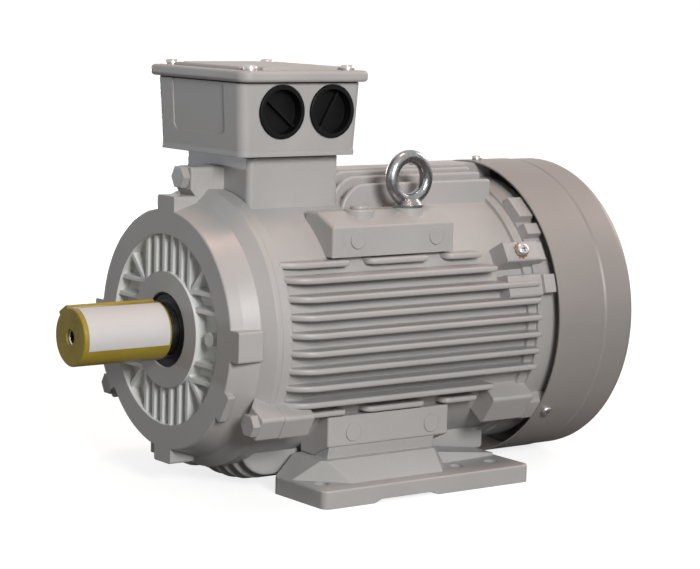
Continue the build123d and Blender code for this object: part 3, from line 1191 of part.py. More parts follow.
def fan_cowl():
    """The sheet-steel cowl over the fan, with a crease round its wall and a slotted rear."""
    step_y = Y_COWL_FRONT + COWL_STEP_AT
    rear_r = COWL_R - COWL_STEP
    corner = COWL_CORNER_R
    sheet = COWL_SHEET
    shell = turned(
        cowl_side(COWL_R, rear_r, step_y, corner, corner)
        + [(0, Y_COWL_REAR), (0, Y_COWL_REAR - sheet)]
        + cowl_side(COWL_INNER_R, rear_r - sheet, step_y, corner, corner - sheet)[::-1]
    )
    spoke = block((0, GRILLE_OUTER_R + 2), (Y_COWL_REAR - sheet, Y_COWL_REAR), (-GRILLE_BAR, GRILLE_BAR))
    spokes = [at_angle(360 * k / GRILLE_SPOKES, spoke) for k in range(GRILLE_SPOKES)]
    cowl = on_axis((shell - grille_slots()) + spokes)
    hole = screw_hole(COWL_SCREW_D, 2 * COWL_SHEET, BOLT_GAP)
    return cowl - [cowl_screw_place(hole, angle) for angle in REAR_LUG_ANGLES]


def cowl_side(front_r, rear_r, step_y, corner, bend):
    """One face of the cowl's wall, from its front rim to the end of the rounded rear corner."""
    side = [(front_r, Y_COWL_FRONT), (front_r, step_y), (front_r - CREASE_DEPTH, step_y + CREASE_WIDTH / 2)]
    side.append((rear_r, step_y + CREASE_WIDTH))
    centre_r = rear_r - bend
    for k in range(COWL_CORNER_STEPS + 1):
        turn = math.radians(90 * k / COWL_CORNER_STEPS)
        side.append((centre_r + bend * math.cos(turn), Y_COWL_REAR - corner + bend * math.sin(turn)))
    return side


def cowl_screws():
    """The screws of the cowl."""
    screw = pan_screw(COWL_SCREW_D, COWL_SCREW_LENGTH)
    return [cowl_screw_place(screw, angle) for angle in REAR_LUG_ANGLES]


# ---------------------------------------------------------------- terminal box
def tapered_shell(size_x0, size_y0, size_x1, size_y1, z0, z1, corner_r):
    """A block with round corners that widens upwards."""
    low = Pos(0, BOX_CENTRE_Y, z0) * RectangleRounded(size_x0, size_y0, corner_r)
    high = Pos(0, BOX_CENTRE_Y, z1) * RectangleRounded(size_x1, size_y1, corner_r)
    return loft([low, high], ruled=True)


def entry_place(shape, y):
    """A shape drawn along +Z, set on the machined face of a cable entry, pointing outwards."""
    rise = ENTRY_HEIGHT - PLUG_FLANGE_D / 2
    face_x = BOX_BASE_X / 2 + (BOX_TOP_X - BOX_BASE_X) / 2 * rise / BOX_HEIGHT
    return placed(shape, (face_x, y, Z_ENTRY), (1, 0, 0))


def entry_hole():
    """The threaded hole of a cable entry, from its machined face inwards."""
    return upright(ENTRY_D / 2 + THREAD_GAP, -ENTRY_BOSS - 1.0, ENTRY_FACE_CUT)


def lid_screw_seats():
    """Where the lid screws stand, as (x, y)."""
    signs = ((1, 1), (1, -1), (-1, 1), (-1, -1))
    return [(sx * LID_SCREW_X / 2, BOX_CENTRE_Y + sy * LID_SCREW_Y / 2) for sx, sy in signs]


def terminal_box_base():
    """The cast box on the pedestal, with two threaded cable entries."""
    wall2 = 2 * BOX_WALL
    box = tapered_shell(BOX_BASE_X, BOX_BASE_Y, BOX_TOP_X, BOX_TOP_Y, Z_BOX, Z_BOX_TOP, BOX_CORNER_R)
    skirt_x, skirt_y = BOX_BASE_X + 2 * BOX_SKIRT_PROUD, BOX_BASE_Y + 2 * BOX_SKIRT_PROUD
    skirt = Pos(0, BOX_CENTRE_Y, 0) * rounded_plate(skirt_x, skirt_y, Z_BOX, Z_BOX + BOX_SKIRT, BOX_CORNER_R)
    hollow = tapered_shell(BOX_BASE_X - wall2, BOX_BASE_Y - wall2, BOX_TOP_X - wall2, BOX_TOP_Y - wall2,
                           Z_BOX + BOX_FLOOR, Z_BOX_TOP + TINY, BOX_CORNER_R - BOX_WALL)
    columns = [upright(COLUMN_D / 2, Z_BOX + 1, Z_BOX_TOP, x, y) for x, y in lid_screw_seats()]
    inside = tapered_shell(BOX_BASE_X - 2, BOX_BASE_Y - 2, BOX_TOP_X - 2, BOX_TOP_Y - 2,
                           Z_BOX, Z_BOX_TOP, BOX_CORNER_R - 1)
    boss = upright(ENTRY_D / 2 + ENTRY_BOSS_WALL, -ENTRY_BOSS, -1.0)
    bosses = [entry_place(boss, y) for y in (ENTRY_FRONT_Y, ENTRY_REAR_Y)]
    box = box + skirt - hollow + [piece & inside for piece in columns + bosses]
    cuts = [pedestal_window(Z_BOX - TINY, Z_BOX + BOX_FLOOR + TINY)]
    screw_hole_low = Z_BOX_TOP - LID_SCREW_DEPTH - 1
    cuts += drilled(LID_SCREW_D / 2 + THREAD_GAP, screw_hole_low, Z_BOX_TOP, lid_screw_seats())
    cuts += drilled(BOX_SCREW_D / 2 + BOLT_GAP, Z_BOX, Z_BOX + BOX_FLOOR, box_screw_seats())
    for y in (ENTRY_FRONT_Y, ENTRY_REAR_Y):
        cuts.append(entry_place(entry_hole(), y))
        cuts.append(entry_place(upright(PLUG_FLANGE_D / 2 + BOLT_GAP, 0, ENTRY_FACE_CUT), y))
    for side in (-1, 1):
        y_face = BOX_CENTRE_Y + side * BOX_TOP_Y / 2
        panel = block((-BOX_PANEL_X / 2, BOX_PANEL_X / 2), sorted((y_face, y_face + side * 8)),
                      (Z_BOX_TOP - BOX_PANEL_Z, Z_BOX_TOP + TINY))
        panel = fillet(panel.edges().filter_by(Axis.Y).group_by(Axis.Z)[0], BOX_PANEL_R)
        slope = math.degrees(math.atan2((BOX_TOP_Y - BOX_BASE_Y) / 2, BOX_HEIGHT))
        level = Pos(0, -y_face, -Z_BOX_TOP) * panel
        tilted = Pos(0, y_face, Z_BOX_TOP) * (Rot(side * -slope, 0, 0) * level)
        cuts.append(Pos(0, -side * BOX_PANEL_DEPTH, 0) * tilted)
    return box - cuts


def terminal_box_gasket():
    """The gasket between the pedestal and the box."""
    sheet = rounded_plate(PEDESTAL_X - 1, PEDESTAL_Y - 1, PEDESTAL_TOP, Z_BOX, 4.5)
    sheet = Pos(0, PEDESTAL_CENTRE_Y, 0) * sheet - pedestal_window(PEDESTAL_TOP - TINY, Z_BOX + TINY)
    return sheet - drilled(BOX_SCREW_D / 2 + BOLT_GAP, PEDESTAL_TOP, Z_BOX, box_screw_seats())


def terminal_box_screws():
    """The screws that hold the box to the pedestal, inside the box."""
    screw = socket_screw(BOX_SCREW_D, BOX_SCREW_LENGTH + BASE_GASKET + BOX_FLOOR - 2.0)
    return [placed(screw, (x, y, Z_BOX + BOX_FLOOR), (0, 0, 1)) for x, y in box_screw_seats()]


def lid_gasket():
    """The gasket under the lid."""
    wall = BOX_WALL + 1.0
    centre = Pos(0, BOX_CENTRE_Y, 0)
    outer = centre * rounded_plate(BOX_TOP_X - 1, BOX_TOP_Y - 1, Z_BOX_TOP, Z_LID, BOX_CORNER_R)
    inner_x, inner_y = BOX_TOP_X - 2 * wall, BOX_TOP_Y - 2 * wall
    inner = centre * rounded_plate(inner_x, inner_y, Z_BOX_TOP - TINY, Z_LID + TINY, 3.0)
    eyes = [upright(COLUMN_D / 2, Z_BOX_TOP, Z_LID, x, y) & outer for x, y in lid_screw_seats()]
    gasket = outer - inner + eyes
    return gasket - drilled(LID_SCREW_D / 2 + BOLT_GAP, Z_BOX_TOP, Z_LID, lid_screw_seats())


def terminal_box_lid():
    """The lid, with a raised panel that leaves the four screw corners free."""
    centre = Pos(0, BOX_CENTRE_Y, 0)
    lid = centre * rounded_plate(LID_X, LID_Y, Z_LID, Z_LID_TOP, BOX_CORNER_R + LID_LIP)
    flats = lid.faces().sort_by(Axis.Z)
    lid = fillet(flats[-1].edges() + flats[0].edges(), LID_EDGE_R)
    panel_x, panel_y = LID_X - 2 * LID_PANEL_INSET, LID_Y - 2 * LID_PANEL_INSET
    panel_top = Z_LID_TOP + LID_PANEL_RISE
    panel = centre * rounded_plate(panel_x, panel_y, Z_LID_TOP - 1, panel_top, 6.0)
    panel -= drilled(LID_SCREW_NOTCH_R, Z_LID_TOP - 1, panel_top, lid_screw_seats())
    panel = chamfer(panel.faces().sort_by(Axis.Z)[-1].edges(), 1.2)
    lid += panel
    hollow_x, hollow_y = BOX_TOP_X - 4 * BOX_WALL - 12, BOX_TOP_Y - 4 * BOX_WALL - 12
    lid -= centre * rounded_plate(hollow_x, hollow_y, Z_LID - TINY, Z_LID_TOP - 3.0, 5.0)
    return lid - drilled(LID_SCREW_D / 2 + BOLT_GAP, Z_LID, Z_LID_TOP, lid_screw_seats())


def lid_screws():
    """The four domed screws of the lid."""
    screw = pan_screw(LID_SCREW_D, LID_SCREW_DEPTH + LID_THICKNESS + LID_GASKET)
    return [placed(screw, (x, y, Z_LID_TOP), (0, 0, 1)) for x, y in lid_screw_seats()]


def entry_plug(y, turn):
    """A hollow blanking plug in a cable entry, open outwards with a grip web turned from upright."""
    flange = upright(PLUG_FLANGE_D / 2, 0, PLUG_FLANGE)
    flange = fillet(flange.faces().sort_by(Axis.Z)[-1].edges(), 1.0)
    plug = flange + upright(ENTRY_D / 2, -PLUG_DEPTH, TINY)
    plug -= upright(ENTRY_D / 2 - PLUG_SKIN, -PLUG_DEPTH + PLUG_SKIN, PLUG_FLANGE + TINY)
    half = ENTRY_D / 2 - PLUG_SKIN + TINY
    web = block((-half, half), (-PLUG_WEB / 2, PLUG_WEB / 2), (-PLUG_DEPTH + 1, -PLUG_DEPTH / 3))
    plug += Rot(0, 0, turn) * web
    return entry_place(plug, y)


# ---------------------------------------------------------------- terminals
def terminal_places():
    """Where the six studs stand, as (x, y)."""
    rows = [BOX_CENTRE_Y + side * STUD_PITCH_Y / 2 for side in (1, -1)]
    return [(k * STUD_PITCH_X, y) for y in rows for k in (-1, 0, 1)]


def board_levels():
    """Heights of the board's underside and top."""
    low = Z_BOX + BOX_FLOOR + BOARD_LEG
    return low, low + BOARD_HEIGHT


def terminal_board():
    """The insulating board, on two legs that stand beside the window of the floor."""
    low, high = board_levels()
    board = Pos(0, BOX_CENTRE_Y, 0) * rounded_plate(BOARD_X, BOARD_Y, low, high, 2.0)
    for side in (-1, 1):
        outer = side * (BOARD_X / 2 - 0.5)
        leg_x = sorted((outer, outer - side * BOARD_LEG_X))
        leg_y = (BOX_CENTRE_Y - BOARD_Y / 3, BOX_CENTRE_Y + BOARD_Y / 3)
        board += block(leg_x, leg_y, (low - BOARD_LEG, low + 1))
    return board - drilled(STUD_D / 2 + THREAD_GAP, low, high, terminal_places())


def terminal_studs():
    """The brass studs of the terminal board."""
    low, high = board_levels()
    return [upright(STUD_D / 2, low, high + STUD_HEIGHT, x, y) for x, y in terminal_places()]


def terminal_links():
    """The three brass links that join the two rows of studs."""
    high = board_levels()[1]
    links = []
    for k in (-1, 0, 1):
        link = Pos(k * STUD_PITCH_X, BOX_CENTRE_Y, high) * extrude(
            Rot(0, 0, 90) * SlotCenterToCenter(STUD_PITCH_Y, LINK_WIDTH), LINK_WALL
        )
        links.append(link - drilled(STUD_D / 2 + BOLT_GAP, high, high + LINK_WALL, terminal_places()))
    return links


def terminal_nuts():
    """The six nuts that press the links to the board."""
    base = board_levels()[1] + LINK_WALL
    nut = extrude(RegularPolygon(STUD_D * 0.8, 6, major_radius=False), STUD_D * 0.8)
    nut -= upright(STUD_D / 2 + THREAD_GAP, -TINY, STUD_D + TINY)
    return [Pos(x, y, base) * nut for x, y in terminal_places()]


# ---------------------------------------------------------------- lifting and earthing pieces
def lifting_eyebolt(x, y):
    """A ring-shaped lifting eye, screwed into a boss; its ring lies in the plane of the shaft axis."""
    tube_r = (EYE_OUTER_D - EYE_INNER_D) / 4
    ring = Pos(0, 0, EYE_CENTRE_HEIGHT) * (Rot(0, 90, 0) * Torus(EYE_OUTER_D / 2 - tube_r, tube_r))
    collar = upright(EYE_BASE_D / 2, 0, EYE_BASE_HEIGHT)
    top = collar.faces().sort_by(Axis.Z)[-1]
    collar = chamfer(top.edges(), EYE_BASE_HEIGHT * 0.7, EYE_BASE_HEIGHT * 0.6)
    eye = ring + collar + upright(EYE_SHANK_D / 2, -EYE_SHANK_LENGTH, TINY)
    hole = Rot(0, 90, 0) * Cylinder(EYE_INNER_D / 2, EYE_BASE_D + 2)
    return Pos(x, y, Z_LIFT) * (eye - Pos(0, 0, EYE_CENTRE_HEIGHT) * hole)


def lifting_hole_plugs():
    """The plugs in the two lifting bosses that carry no eye."""
    head = upright(HOLE_PLUG_D / 2, 0, HOLE_PLUG_HEAD)
    head = fillet(head.faces().sort_by(Axis.Z)[-1].edges(), HOLE_PLUG_HEAD * 0.6)
    plug = head + upright(EYE_SHANK_D / 2, -HOLE_PLUG_DEPTH, TINY)
    return [Pos(x, y, Z_LIFT) * plug for x, y in ((LIFT_X, LIFT_FRONT_Y), (-LIFT_X, LIFT_REAR_Y))]


def earth_washer():
    """The washer under the earthing screw."""
    hole = upright(EARTH_SCREW_D / 2 + BOLT_GAP, -TINY, EARTH_WASHER + TINY)
    return earth_screw_place(upright(EARTH_WASHER_D / 2, 0, EARTH_WASHER) - hole)


def earth_screw():
    """The earthing screw on its block."""
    return earth_screw_place(Pos(0, 0, EARTH_WASHER) * pan_screw(EARTH_SCREW_D, EARTH_SCREW_LENGTH))


# ---------------------------------------------------------------- output
def main():
    """Builds every node and writes it to parts/."""
    foot = right_foot()
    nodes = {
        "frame_housing": frame_housing(),
        "right_foot": foot,
        "left_foot": mirror(foot, Plane.YZ),
        "foot_screws": foot_screws(),
        "drive_end_shield": drive_end_shield(),
        "drive_end_shield_bolts": drive_end_bolts(),
        "drive_end_seal": drive_end_seal(),
        "drive_end_bearing_retainer": bearing_retainer(),
        "non_drive_end_shield": non_drive_end_shield(),
        "non_drive_end_shield_bolts": non_drive_end_bolts(),
        "bearing_preload_spring": preload_spring(),
        "stator_core": stator_core(),
        "stator_windings": stator_windings(),
        "winding_leads": winding_leads(),
        "shaft": shaft(),
        "rotor_core": rotor_core(),
        "rotor_cage": rotor_cage(),
        "cooling_fan": cooling_fan(),
        "fan_retaining_ring": fan_retainer(),
        "rear_shaft_seal": rear_seal(),
        "shaft_cap": shaft_cap(),
        "fan_cowl": fan_cowl(),
        "fan_cowl_screws": cowl_screws(),
        "terminal_box_gasket": terminal_box_gasket(),
        "terminal_box_base": terminal_box_base(),
        "terminal_box_screws": terminal_box_screws(),
        "lid_gasket": lid_gasket(),
        "terminal_box_lid": terminal_box_lid(),
        "lid_screws": lid_screws(),
        "terminal_board": terminal_board(),
        "terminal_studs": terminal_studs(),
        "terminal_links": terminal_links(),
        "terminal_nuts": terminal_nuts(),
        "cable_entry_plug_front": entry_plug(ENTRY_FRONT_Y, FRONT_PLUG_TURN),
        "cable_entry_plug_rear": entry_plug(ENTRY_REAR_Y, REAR_PLUG_TURN),
        "right_lifting_eyebolt": lifting_eyebolt(LIFT_X, LIFT_REAR_Y),
        "left_lifting_eyebolt": lifting_eyebolt(-LIFT_X, LIFT_FRONT_Y),
        "lifting_hole_plugs": lifting_hole_plugs(),
        "earth_washer": earth_washer(),
        "earth_screw": earth_screw(),
    }
    front = (FRONT_BEARING_D, FRONT_BEARING_WIDTH, FRONT_BALL_D)
    rear = (REAR_BEARING_D, REAR_BEARING_WIDTH, REAR_BALL_D)
    for end, sizes, count, start in (
        ("drive_end", front, FRONT_BALLS, Y_FRONT_BEARING),
        ("non_drive_end", rear, REAR_BALLS, Y_REAR_BEARING),
    ):
        nodes[f"{end}_bearing_outer_ring"] = outer_ring(*sizes, start)
        nodes[f"{end}_bearing_inner_ring"] = inner_ring(*sizes, start)
        nodes[f"{end}_bearing_balls"] = balls(*sizes, count, start)
        nodes[f"{end}_bearing_cage"] = ball_cage(*sizes, count, start)
    os.makedirs("parts", exist_ok=True)
    for name, shape in nodes.items():
        pieces = shape if isinstance(shape, list) else [shape]
        solids = [solid for piece in pieces for solid in piece.solids()]
        export_step(solids[0] if len(solids) == 1 else Compound(solids), f"parts/{name}.step")


main()
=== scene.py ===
"""Looks of a foot-mounted, fan-cooled electric motor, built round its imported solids.

Lengths are in metres, in the motor's own frame: the origin lies on the floor in the middle of
the long rectangle of foot holes, +Z is up, the shaft lies along Y with its free end towards -Y,
and the cable entries face +X.
"""

import json
import logging
import math
from dataclasses import dataclass, field, replace
from enum import Enum
from typing import Callable, Iterable

import bpy
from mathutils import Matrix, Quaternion, Vector

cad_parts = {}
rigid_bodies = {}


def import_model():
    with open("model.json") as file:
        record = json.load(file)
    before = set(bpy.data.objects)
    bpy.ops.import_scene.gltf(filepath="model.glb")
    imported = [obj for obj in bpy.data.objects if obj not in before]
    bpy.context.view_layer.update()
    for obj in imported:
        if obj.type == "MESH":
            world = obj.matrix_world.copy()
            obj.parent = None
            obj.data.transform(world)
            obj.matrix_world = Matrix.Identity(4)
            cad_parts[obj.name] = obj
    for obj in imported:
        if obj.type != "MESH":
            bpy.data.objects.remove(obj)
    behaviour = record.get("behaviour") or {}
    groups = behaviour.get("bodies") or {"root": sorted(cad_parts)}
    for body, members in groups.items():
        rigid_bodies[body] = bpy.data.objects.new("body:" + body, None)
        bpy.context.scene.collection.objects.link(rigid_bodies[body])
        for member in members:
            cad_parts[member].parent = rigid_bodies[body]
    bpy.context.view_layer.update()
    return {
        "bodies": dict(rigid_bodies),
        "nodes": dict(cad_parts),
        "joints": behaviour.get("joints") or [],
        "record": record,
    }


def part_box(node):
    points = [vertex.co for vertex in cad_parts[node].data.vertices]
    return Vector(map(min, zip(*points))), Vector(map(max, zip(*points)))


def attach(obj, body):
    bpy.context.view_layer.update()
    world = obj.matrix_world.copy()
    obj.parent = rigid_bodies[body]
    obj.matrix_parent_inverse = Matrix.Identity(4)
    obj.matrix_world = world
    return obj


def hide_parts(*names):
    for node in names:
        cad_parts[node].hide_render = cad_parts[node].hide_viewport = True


MM = 0.001
log = logging.getLogger("motor")
Colour = tuple[float, float, float]
WHITE: Colour = (1.0, 1.0, 1.0)
DUST_COLOUR: Colour = (0.62, 0.58, 0.53)


# ---------------------------------------------------------------- node graphs
class Graph:
    """Adds nodes to one node tree and joins their sockets."""

    def __init__(self, tree: bpy.types.NodeTree) -> None:
        """Keeps the tree that the nodes go into.

        Args:
            tree: The node tree of a material or of a node group.
        """
        self.tree = tree

    def node(self, kind: str, **settings: object) -> bpy.types.Node:
        """Adds a node and sets its plain properties.

        Args:
            kind: The node's type name, without the leading "ShaderNode".
            settings: Property names and their values.

        Returns:
            The new node.
        """
        made = self.tree.nodes.new("ShaderNode" + kind)
        for name, value in settings.items():
            setattr(made, name, value)
        return made

    def feed(self, node: bpy.types.Node, **inputs: object) -> bpy.types.Node:
        """Sets or links a node's inputs by their names, with underscores for spaces.

        Args:
            node: The node whose inputs are set.
            inputs: A number, colour or vector to store, or an output socket to link.

        Returns:
            The same node.
        """
        for name, value in inputs.items():
            self.plug(node.inputs[name.replace("_", " ")], value)
        return node

    def plug(self, socket: bpy.types.NodeSocket, value: object) -> None:
        """Links an output socket into a socket, or stores a plain value there.

        Args:
            socket: The input socket.
            value: An output socket, a number or a sequence of numbers.
        """
        if isinstance(value, bpy.types.NodeSocket):
            self.tree.links.new(value, socket)
        elif isinstance(value, (tuple, list)) and socket.type == "RGBA":
            socket.default_value = (*value[:3], 1.0)
        else:
            socket.default_value = value

    def math(self, operation: str, first: object, second: object = 0.0) -> bpy.types.NodeSocket:
        """Joins two values by a sum, product or other operation.

        Args:
            operation: The Math node's operation.
            first: The first value or socket.
            second: The second value or socket.

        Returns:
            The result's socket.
        """
        made = self.node("Math", operation=operation)
        self.plug(made.inputs[0], first)
        self.plug(made.inputs[1], second)
        return made.outputs[0]

    def weigh(self, first: object, first_weight: float, second: object,
              second_weight: float) -> bpy.types.NodeSocket:
        """Adds two values by their weights.

        Args:
            first: The first value or socket.
            first_weight: Its factor.
            second: The second value or socket.
            second_weight: Its factor.

        Returns:
            The sum's socket.
        """
        return self.math("ADD", self.math("MULTIPLY", first, first_weight),
                         self.math("MULTIPLY", second, second_weight))

    def spread(self, value: object, low: float, high: float, to_low: float = 0.0,
               to_high: float = 1.0) -> bpy.types.NodeSocket:
        """Maps a range of values to another range and clamps the result.

        Args:
            value: The socket that is read.
            low: The value that becomes to_low.
            high: The value that becomes to_high.
            to_low: The result at the low end.
            to_high: The result at the high end.

        Returns:
            The result's socket.
        """
        made = self.node("MapRange", clamp=True)
        self.feed(made, Value=value, From_Min=low, From_Max=high, To_Min=to_low, To_Max=to_high)
        return made.outputs["Result"]

    def blend(self, share: object, first: object, second: object) -> bpy.types.NodeSocket:
        """Mixes two colours.

        Args:
            share: The part of the second colour, from 0 to 1.
            first: The colour where the share is 0.
            second: The colour where the share is 1.

        Returns:
            The mixed colour's socket.
        """
        made = self.node("Mix", data_type="RGBA")
        self.plug(made.inputs[0], share)
        self.plug(made.inputs[6], first)
        self.plug(made.inputs[7], second)
        return made.outputs[2]

    def place(self) -> bpy.types.NodeSocket:
        """Gives the piece's own coordinates."""
        return self.node("TexCoord").outputs["Object"]

    def axes(self, value: bpy.types.NodeSocket) -> bpy.types.NodeOutputs:
        """Splits a vector.

        Args:
            value: The vector's socket.

        Returns:
            The sockets X, Y and Z.
        """
        made = self.node("SeparateXYZ")
        self.plug(made.inputs[0], value)
        return made.outputs

    def noise(self, where: object, scale: object, detail: float,
              roughness: float) -> bpy.types.NodeSocket:
        """Adds a noise pattern.

        Args:
            where: The coordinates' socket.
            scale: Features per metre, roughly, as a number or a socket.
            detail: The number of finer layers.
            roughness: The weight of the finer layers.

        Returns:
            The pattern's value, around one half.
        """
        made = self.node("TexNoise")
        self.feed(made, Vector=where, Scale=scale, Detail=detail, Roughness=roughness)
        return made.outputs["Fac"]


class Effect:
    """One shader node group that several finishes share."""

    title = "effect"
    inputs: dict[str, float] = {}
    outputs: dict[str, str] = {}

    @classmethod
    def group(cls) -> bpy.types.NodeTree:
        """Gives the node group and builds it the first time.

        Returns:
            The shader node group.
        """
        tree = bpy.data.node_groups.get(cls.title)
        if tree is None:
            tree = bpy.data.node_groups.new(cls.title, "ShaderNodeTree")
            for name, value in cls.inputs.items():
                made = tree.interface.new_socket(name, in_out="INPUT",
                                                 socket_type="NodeSocketFloat")
                made.default_value = value
            for name, kind in cls.outputs.items():
                tree.interface.new_socket(name, in_out="OUTPUT", socket_type=kind)
            graph = Graph(tree)
            entry = tree.nodes.new("NodeGroupInput")
            exit_node = tree.nodes.new("NodeGroupOutput")
            for name, socket in cls.build(graph, entry).items():
                tree.links.new(socket, exit_node.inputs[name])
        return tree

    @classmethod
    def build(cls, graph: Graph, entry: bpy.types.Node) -> dict[str, bpy.types.NodeSocket]:
        """Makes the group's inner nodes; each effect has its own.

        Args:
            graph: The group's graph.
            entry: The group's input node.

        Returns:
            The socket that feeds each output.
        """
        raise NotImplementedError

    @classmethod
    def use(cls, graph: Graph, **values: object) -> bpy.types.Node:
        """Places the group in a material's graph with its own values.

        Args:
            graph: The material's graph.
            values: Input names, with underscores for spaces, and their values.

        Returns:
            The group node.
        """
        made = graph.node("Group", node_tree=cls.group())
        return graph.feed(made, **values)


class EdgeWear(Effect):
    """Finds outer and inner edges, for the thin paint and the bright metal along them."""

    title = "edge wear"
    inputs = {"Radius": 0.8 * MM, "Breakup": 260.0}
    outputs = {"Mask": "NodeSocketFloat", "Normal": "NodeSocketVector"}
    flat_cosine = 0.995
    sharp_cosine = 0.86
    patch_range = (0.40, 0.62)

    @classmethod
    def build(cls, graph: Graph, entry: bpy.types.Node) -> dict[str, bpy.types.NodeSocket]:
        """Compares the rounded normal with the plain one and breaks the result up.

        Args:
            graph: The group's graph.
            entry: The group's input node.

        Returns:
            The mask and the rounded normal.
        """
        rounded = graph.node("Bevel", samples=4)
        graph.feed(rounded, Radius=entry.outputs["Radius"])
        plain = graph.node("NewGeometry").outputs["Normal"]
        dot = graph.node("VectorMath", operation="DOT_PRODUCT")
        graph.plug(dot.inputs[0], rounded.outputs["Normal"])
        graph.plug(dot.inputs[1], plain)
        edge = graph.spread(dot.outputs["Value"], cls.flat_cosine, cls.sharp_cosine)
        patchy = graph.noise(graph.place(), entry.outputs["Breakup"], detail=4.0, roughness=0.6)
        mask = graph.math("MULTIPLY", edge, graph.spread(patchy, *cls.patch_range))
        return {"Mask": mask, "Normal": rounded.outputs["Normal"]}


class CastSkin(Effect):
    """The fine pebbled skin of a die casting, with slow changes of tone and a few pits."""

    title = "cast skin"
    inputs = {"Grain": 900.0, "Pits": 160.0, "Clouds": 14.0}
    outputs = {"Height": "NodeSocketFloat", "Tone": "NodeSocketFloat"}
    pit_range = (0.02, 0.16)
    grain_height, swell_height, pit_height = 0.55, 0.6, 0.12
    cloud_tone, grain_tone = 0.7, 0.3

    @classmethod
    def build(cls, graph: Graph, entry: bpy.types.Node) -> dict[str, bpy.types.NodeSocket]:
        """Layers fine grain, wide swells and pits.

        Args:
            graph: The group's graph.
            entry: The group's input node.

        Returns:
            The height for a bump and the tone for the colour.
        """
        where = graph.place()
        grain = graph.noise(where, entry.outputs["Grain"], detail=5.0, roughness=0.62)
        swell = graph.noise(where, entry.outputs["Pits"], detail=2.0, roughness=0.5)
        cells = graph.node("TexVoronoi", feature="F1")
        graph.feed(cells, Vector=where, Scale=entry.outputs["Pits"], Randomness=1.0)
        pits = graph.spread(cells.outputs["Distance"], *cls.pit_range)
        bumps = graph.weigh(grain, cls.grain_height, swell, cls.swell_height)
        height = graph.math("ADD", bumps, graph.math("MULTIPLY", pits, cls.pit_height))
        clouds = graph.noise(where, entry.outputs["Clouds"], detail=4.0, roughness=0.55)
        tone = graph.weigh(clouds, cls.cloud_tone, grain, cls.grain_tone)
        return {"Height": height, "Tone": tone}


class SettledDust(Effect):
    """A light film on faces that look up, broken into patches."""

    title = "settled dust"
    inputs = {"Patches": 38.0}
    outputs = {"Mask": "NodeSocketFloat"}
    upward_range = (0.35, 0.95)
    patch_range = (0.35, 0.75)

    @classmethod
    def build(cls, graph: Graph, entry: bpy.types.Node) -> dict[str, bpy.types.NodeSocket]:
        """Takes the upward share of the normal times a noise.

        Args:
            graph: The group's graph.
            entry: The group's input node.

        Returns:
            The mask.
        """
        normal = graph.axes(graph.node("NewGeometry").outputs["Normal"])
        upward = graph.spread(normal["Z"], *cls.upward_range)
        patches = graph.noise(graph.place(), entry.outputs["Patches"], detail=5.0, roughness=0.6)
        return {"Mask": graph.math("MULTIPLY", upward, graph.spread(patches, *cls.patch_range))}


class MilledFace(Effect):
    """Finds a milled face in front of a plane across the shaft, and the cast recess behind it,
    whose mask carries painted light.
    """

    title = "milled face"
    inputs = {"Plane": -1.0, "Radius": 0.08, "Axis": 0.132, "Depth": 12.0 * MM}
    outputs = {"Mask": "NodeSocketFloat", "Recess Painted Light": "NodeSocketFloat"}

    @classmethod
    def build(cls, graph: Graph, entry: bpy.types.Node) -> dict[str, bpy.types.NodeSocket]:
        """Compares the place along the shaft, and the distance from it, with the face's sizes.

        Args:
            graph: The group's graph.
            entry: The group's input node.

        Returns:
            The masks of the milled face and of the recess that gets painted light.
        """
        place = graph.axes(graph.place())
        along = place["Y"]
        height = graph.math("SUBTRACT", place["Z"], entry.outputs["Axis"])
        squares = graph.math("ADD", graph.math("POWER", place["X"], 2.0),
                             graph.math("POWER", height, 2.0))
        inside = graph.math("LESS_THAN", graph.math("SQRT", squares), entry.outputs["Radius"])
        front = graph.math("LESS_THAN", along, entry.outputs["Plane"])
        floor = graph.math("ADD", entry.outputs["Plane"], entry.outputs["Depth"])
        behind = graph.math("SUBTRACT", graph.math("LESS_THAN", along, floor), front)
        # The recess mask is where the finishes paint light into the recess.
        return {"Mask": front, "Recess Painted Light": graph.math("MULTIPLY", inside, behind)}


class DrawnLines(Effect):
    """Long fine lines left by a lathe, a rolling mill or a stack of sheets."""

    title = "drawn lines"
    inputs = {"Across": 2400.0, "Along": 6.0}
    outputs = {"Height": "NodeSocketFloat", "Tone": "NodeSocketFloat"}
    broad_scale = 55.0
    line_tone, broad_tone = 0.6, 0.4

    @classmethod
    def build(cls, graph: Graph, entry: bpy.types.Node) -> dict[str, bpy.types.NodeSocket]:
        """Stretches a noise so that it changes quickly along Y and slowly across.

        Args:
            graph: The group's graph.
            entry: The group's input node.

        Returns:
            The height and the tone of the lines.
        """
        place = graph.axes(graph.place())
        joined = graph.node("CombineXYZ")
        for axis, factor in (("X", "Along"), ("Y", "Across"), ("Z", "Along")):
            stretched = graph.math("MULTIPLY", place[axis], entry.outputs[factor])
            graph.plug(joined.inputs[axis], stretched)
        lines = graph.noise(joined.outputs[0], 1.0, detail=3.0, roughness=0.6)
        broad = graph.noise(graph.place(), cls.broad_scale, detail=3.0, roughness=0.5)
        return {"Height": lines, "Tone": graph.weigh(lines, cls.line_tone, broad, cls.broad_tone)}


# ---------------------------------------------------------------- finishes
class Skin(Enum):
    """The surface texture under a finish."""

    CAST = "cast"
    SHEET = "sheet"
    MOULDED = "moulded"
    LINED = "lined"


@dataclass(frozen=True)
class SkinScale:
    """How fine a pebbled skin's layers are, from the finish's grain."""

    grain_factor: float
    pit_divisor: float
    clouds: float


SKIN_SCALES: dict[Skin, SkinScale] = {
    Skin.CAST: SkinScale(1.0, 5.5, 14.0),
    Skin.SHEET: SkinScale(1.0, 3.0, 9.0),
    Skin.MOULDED: SkinScale(2.0, 2.0, 30.0),
}
LINE_STRETCH = 300.0


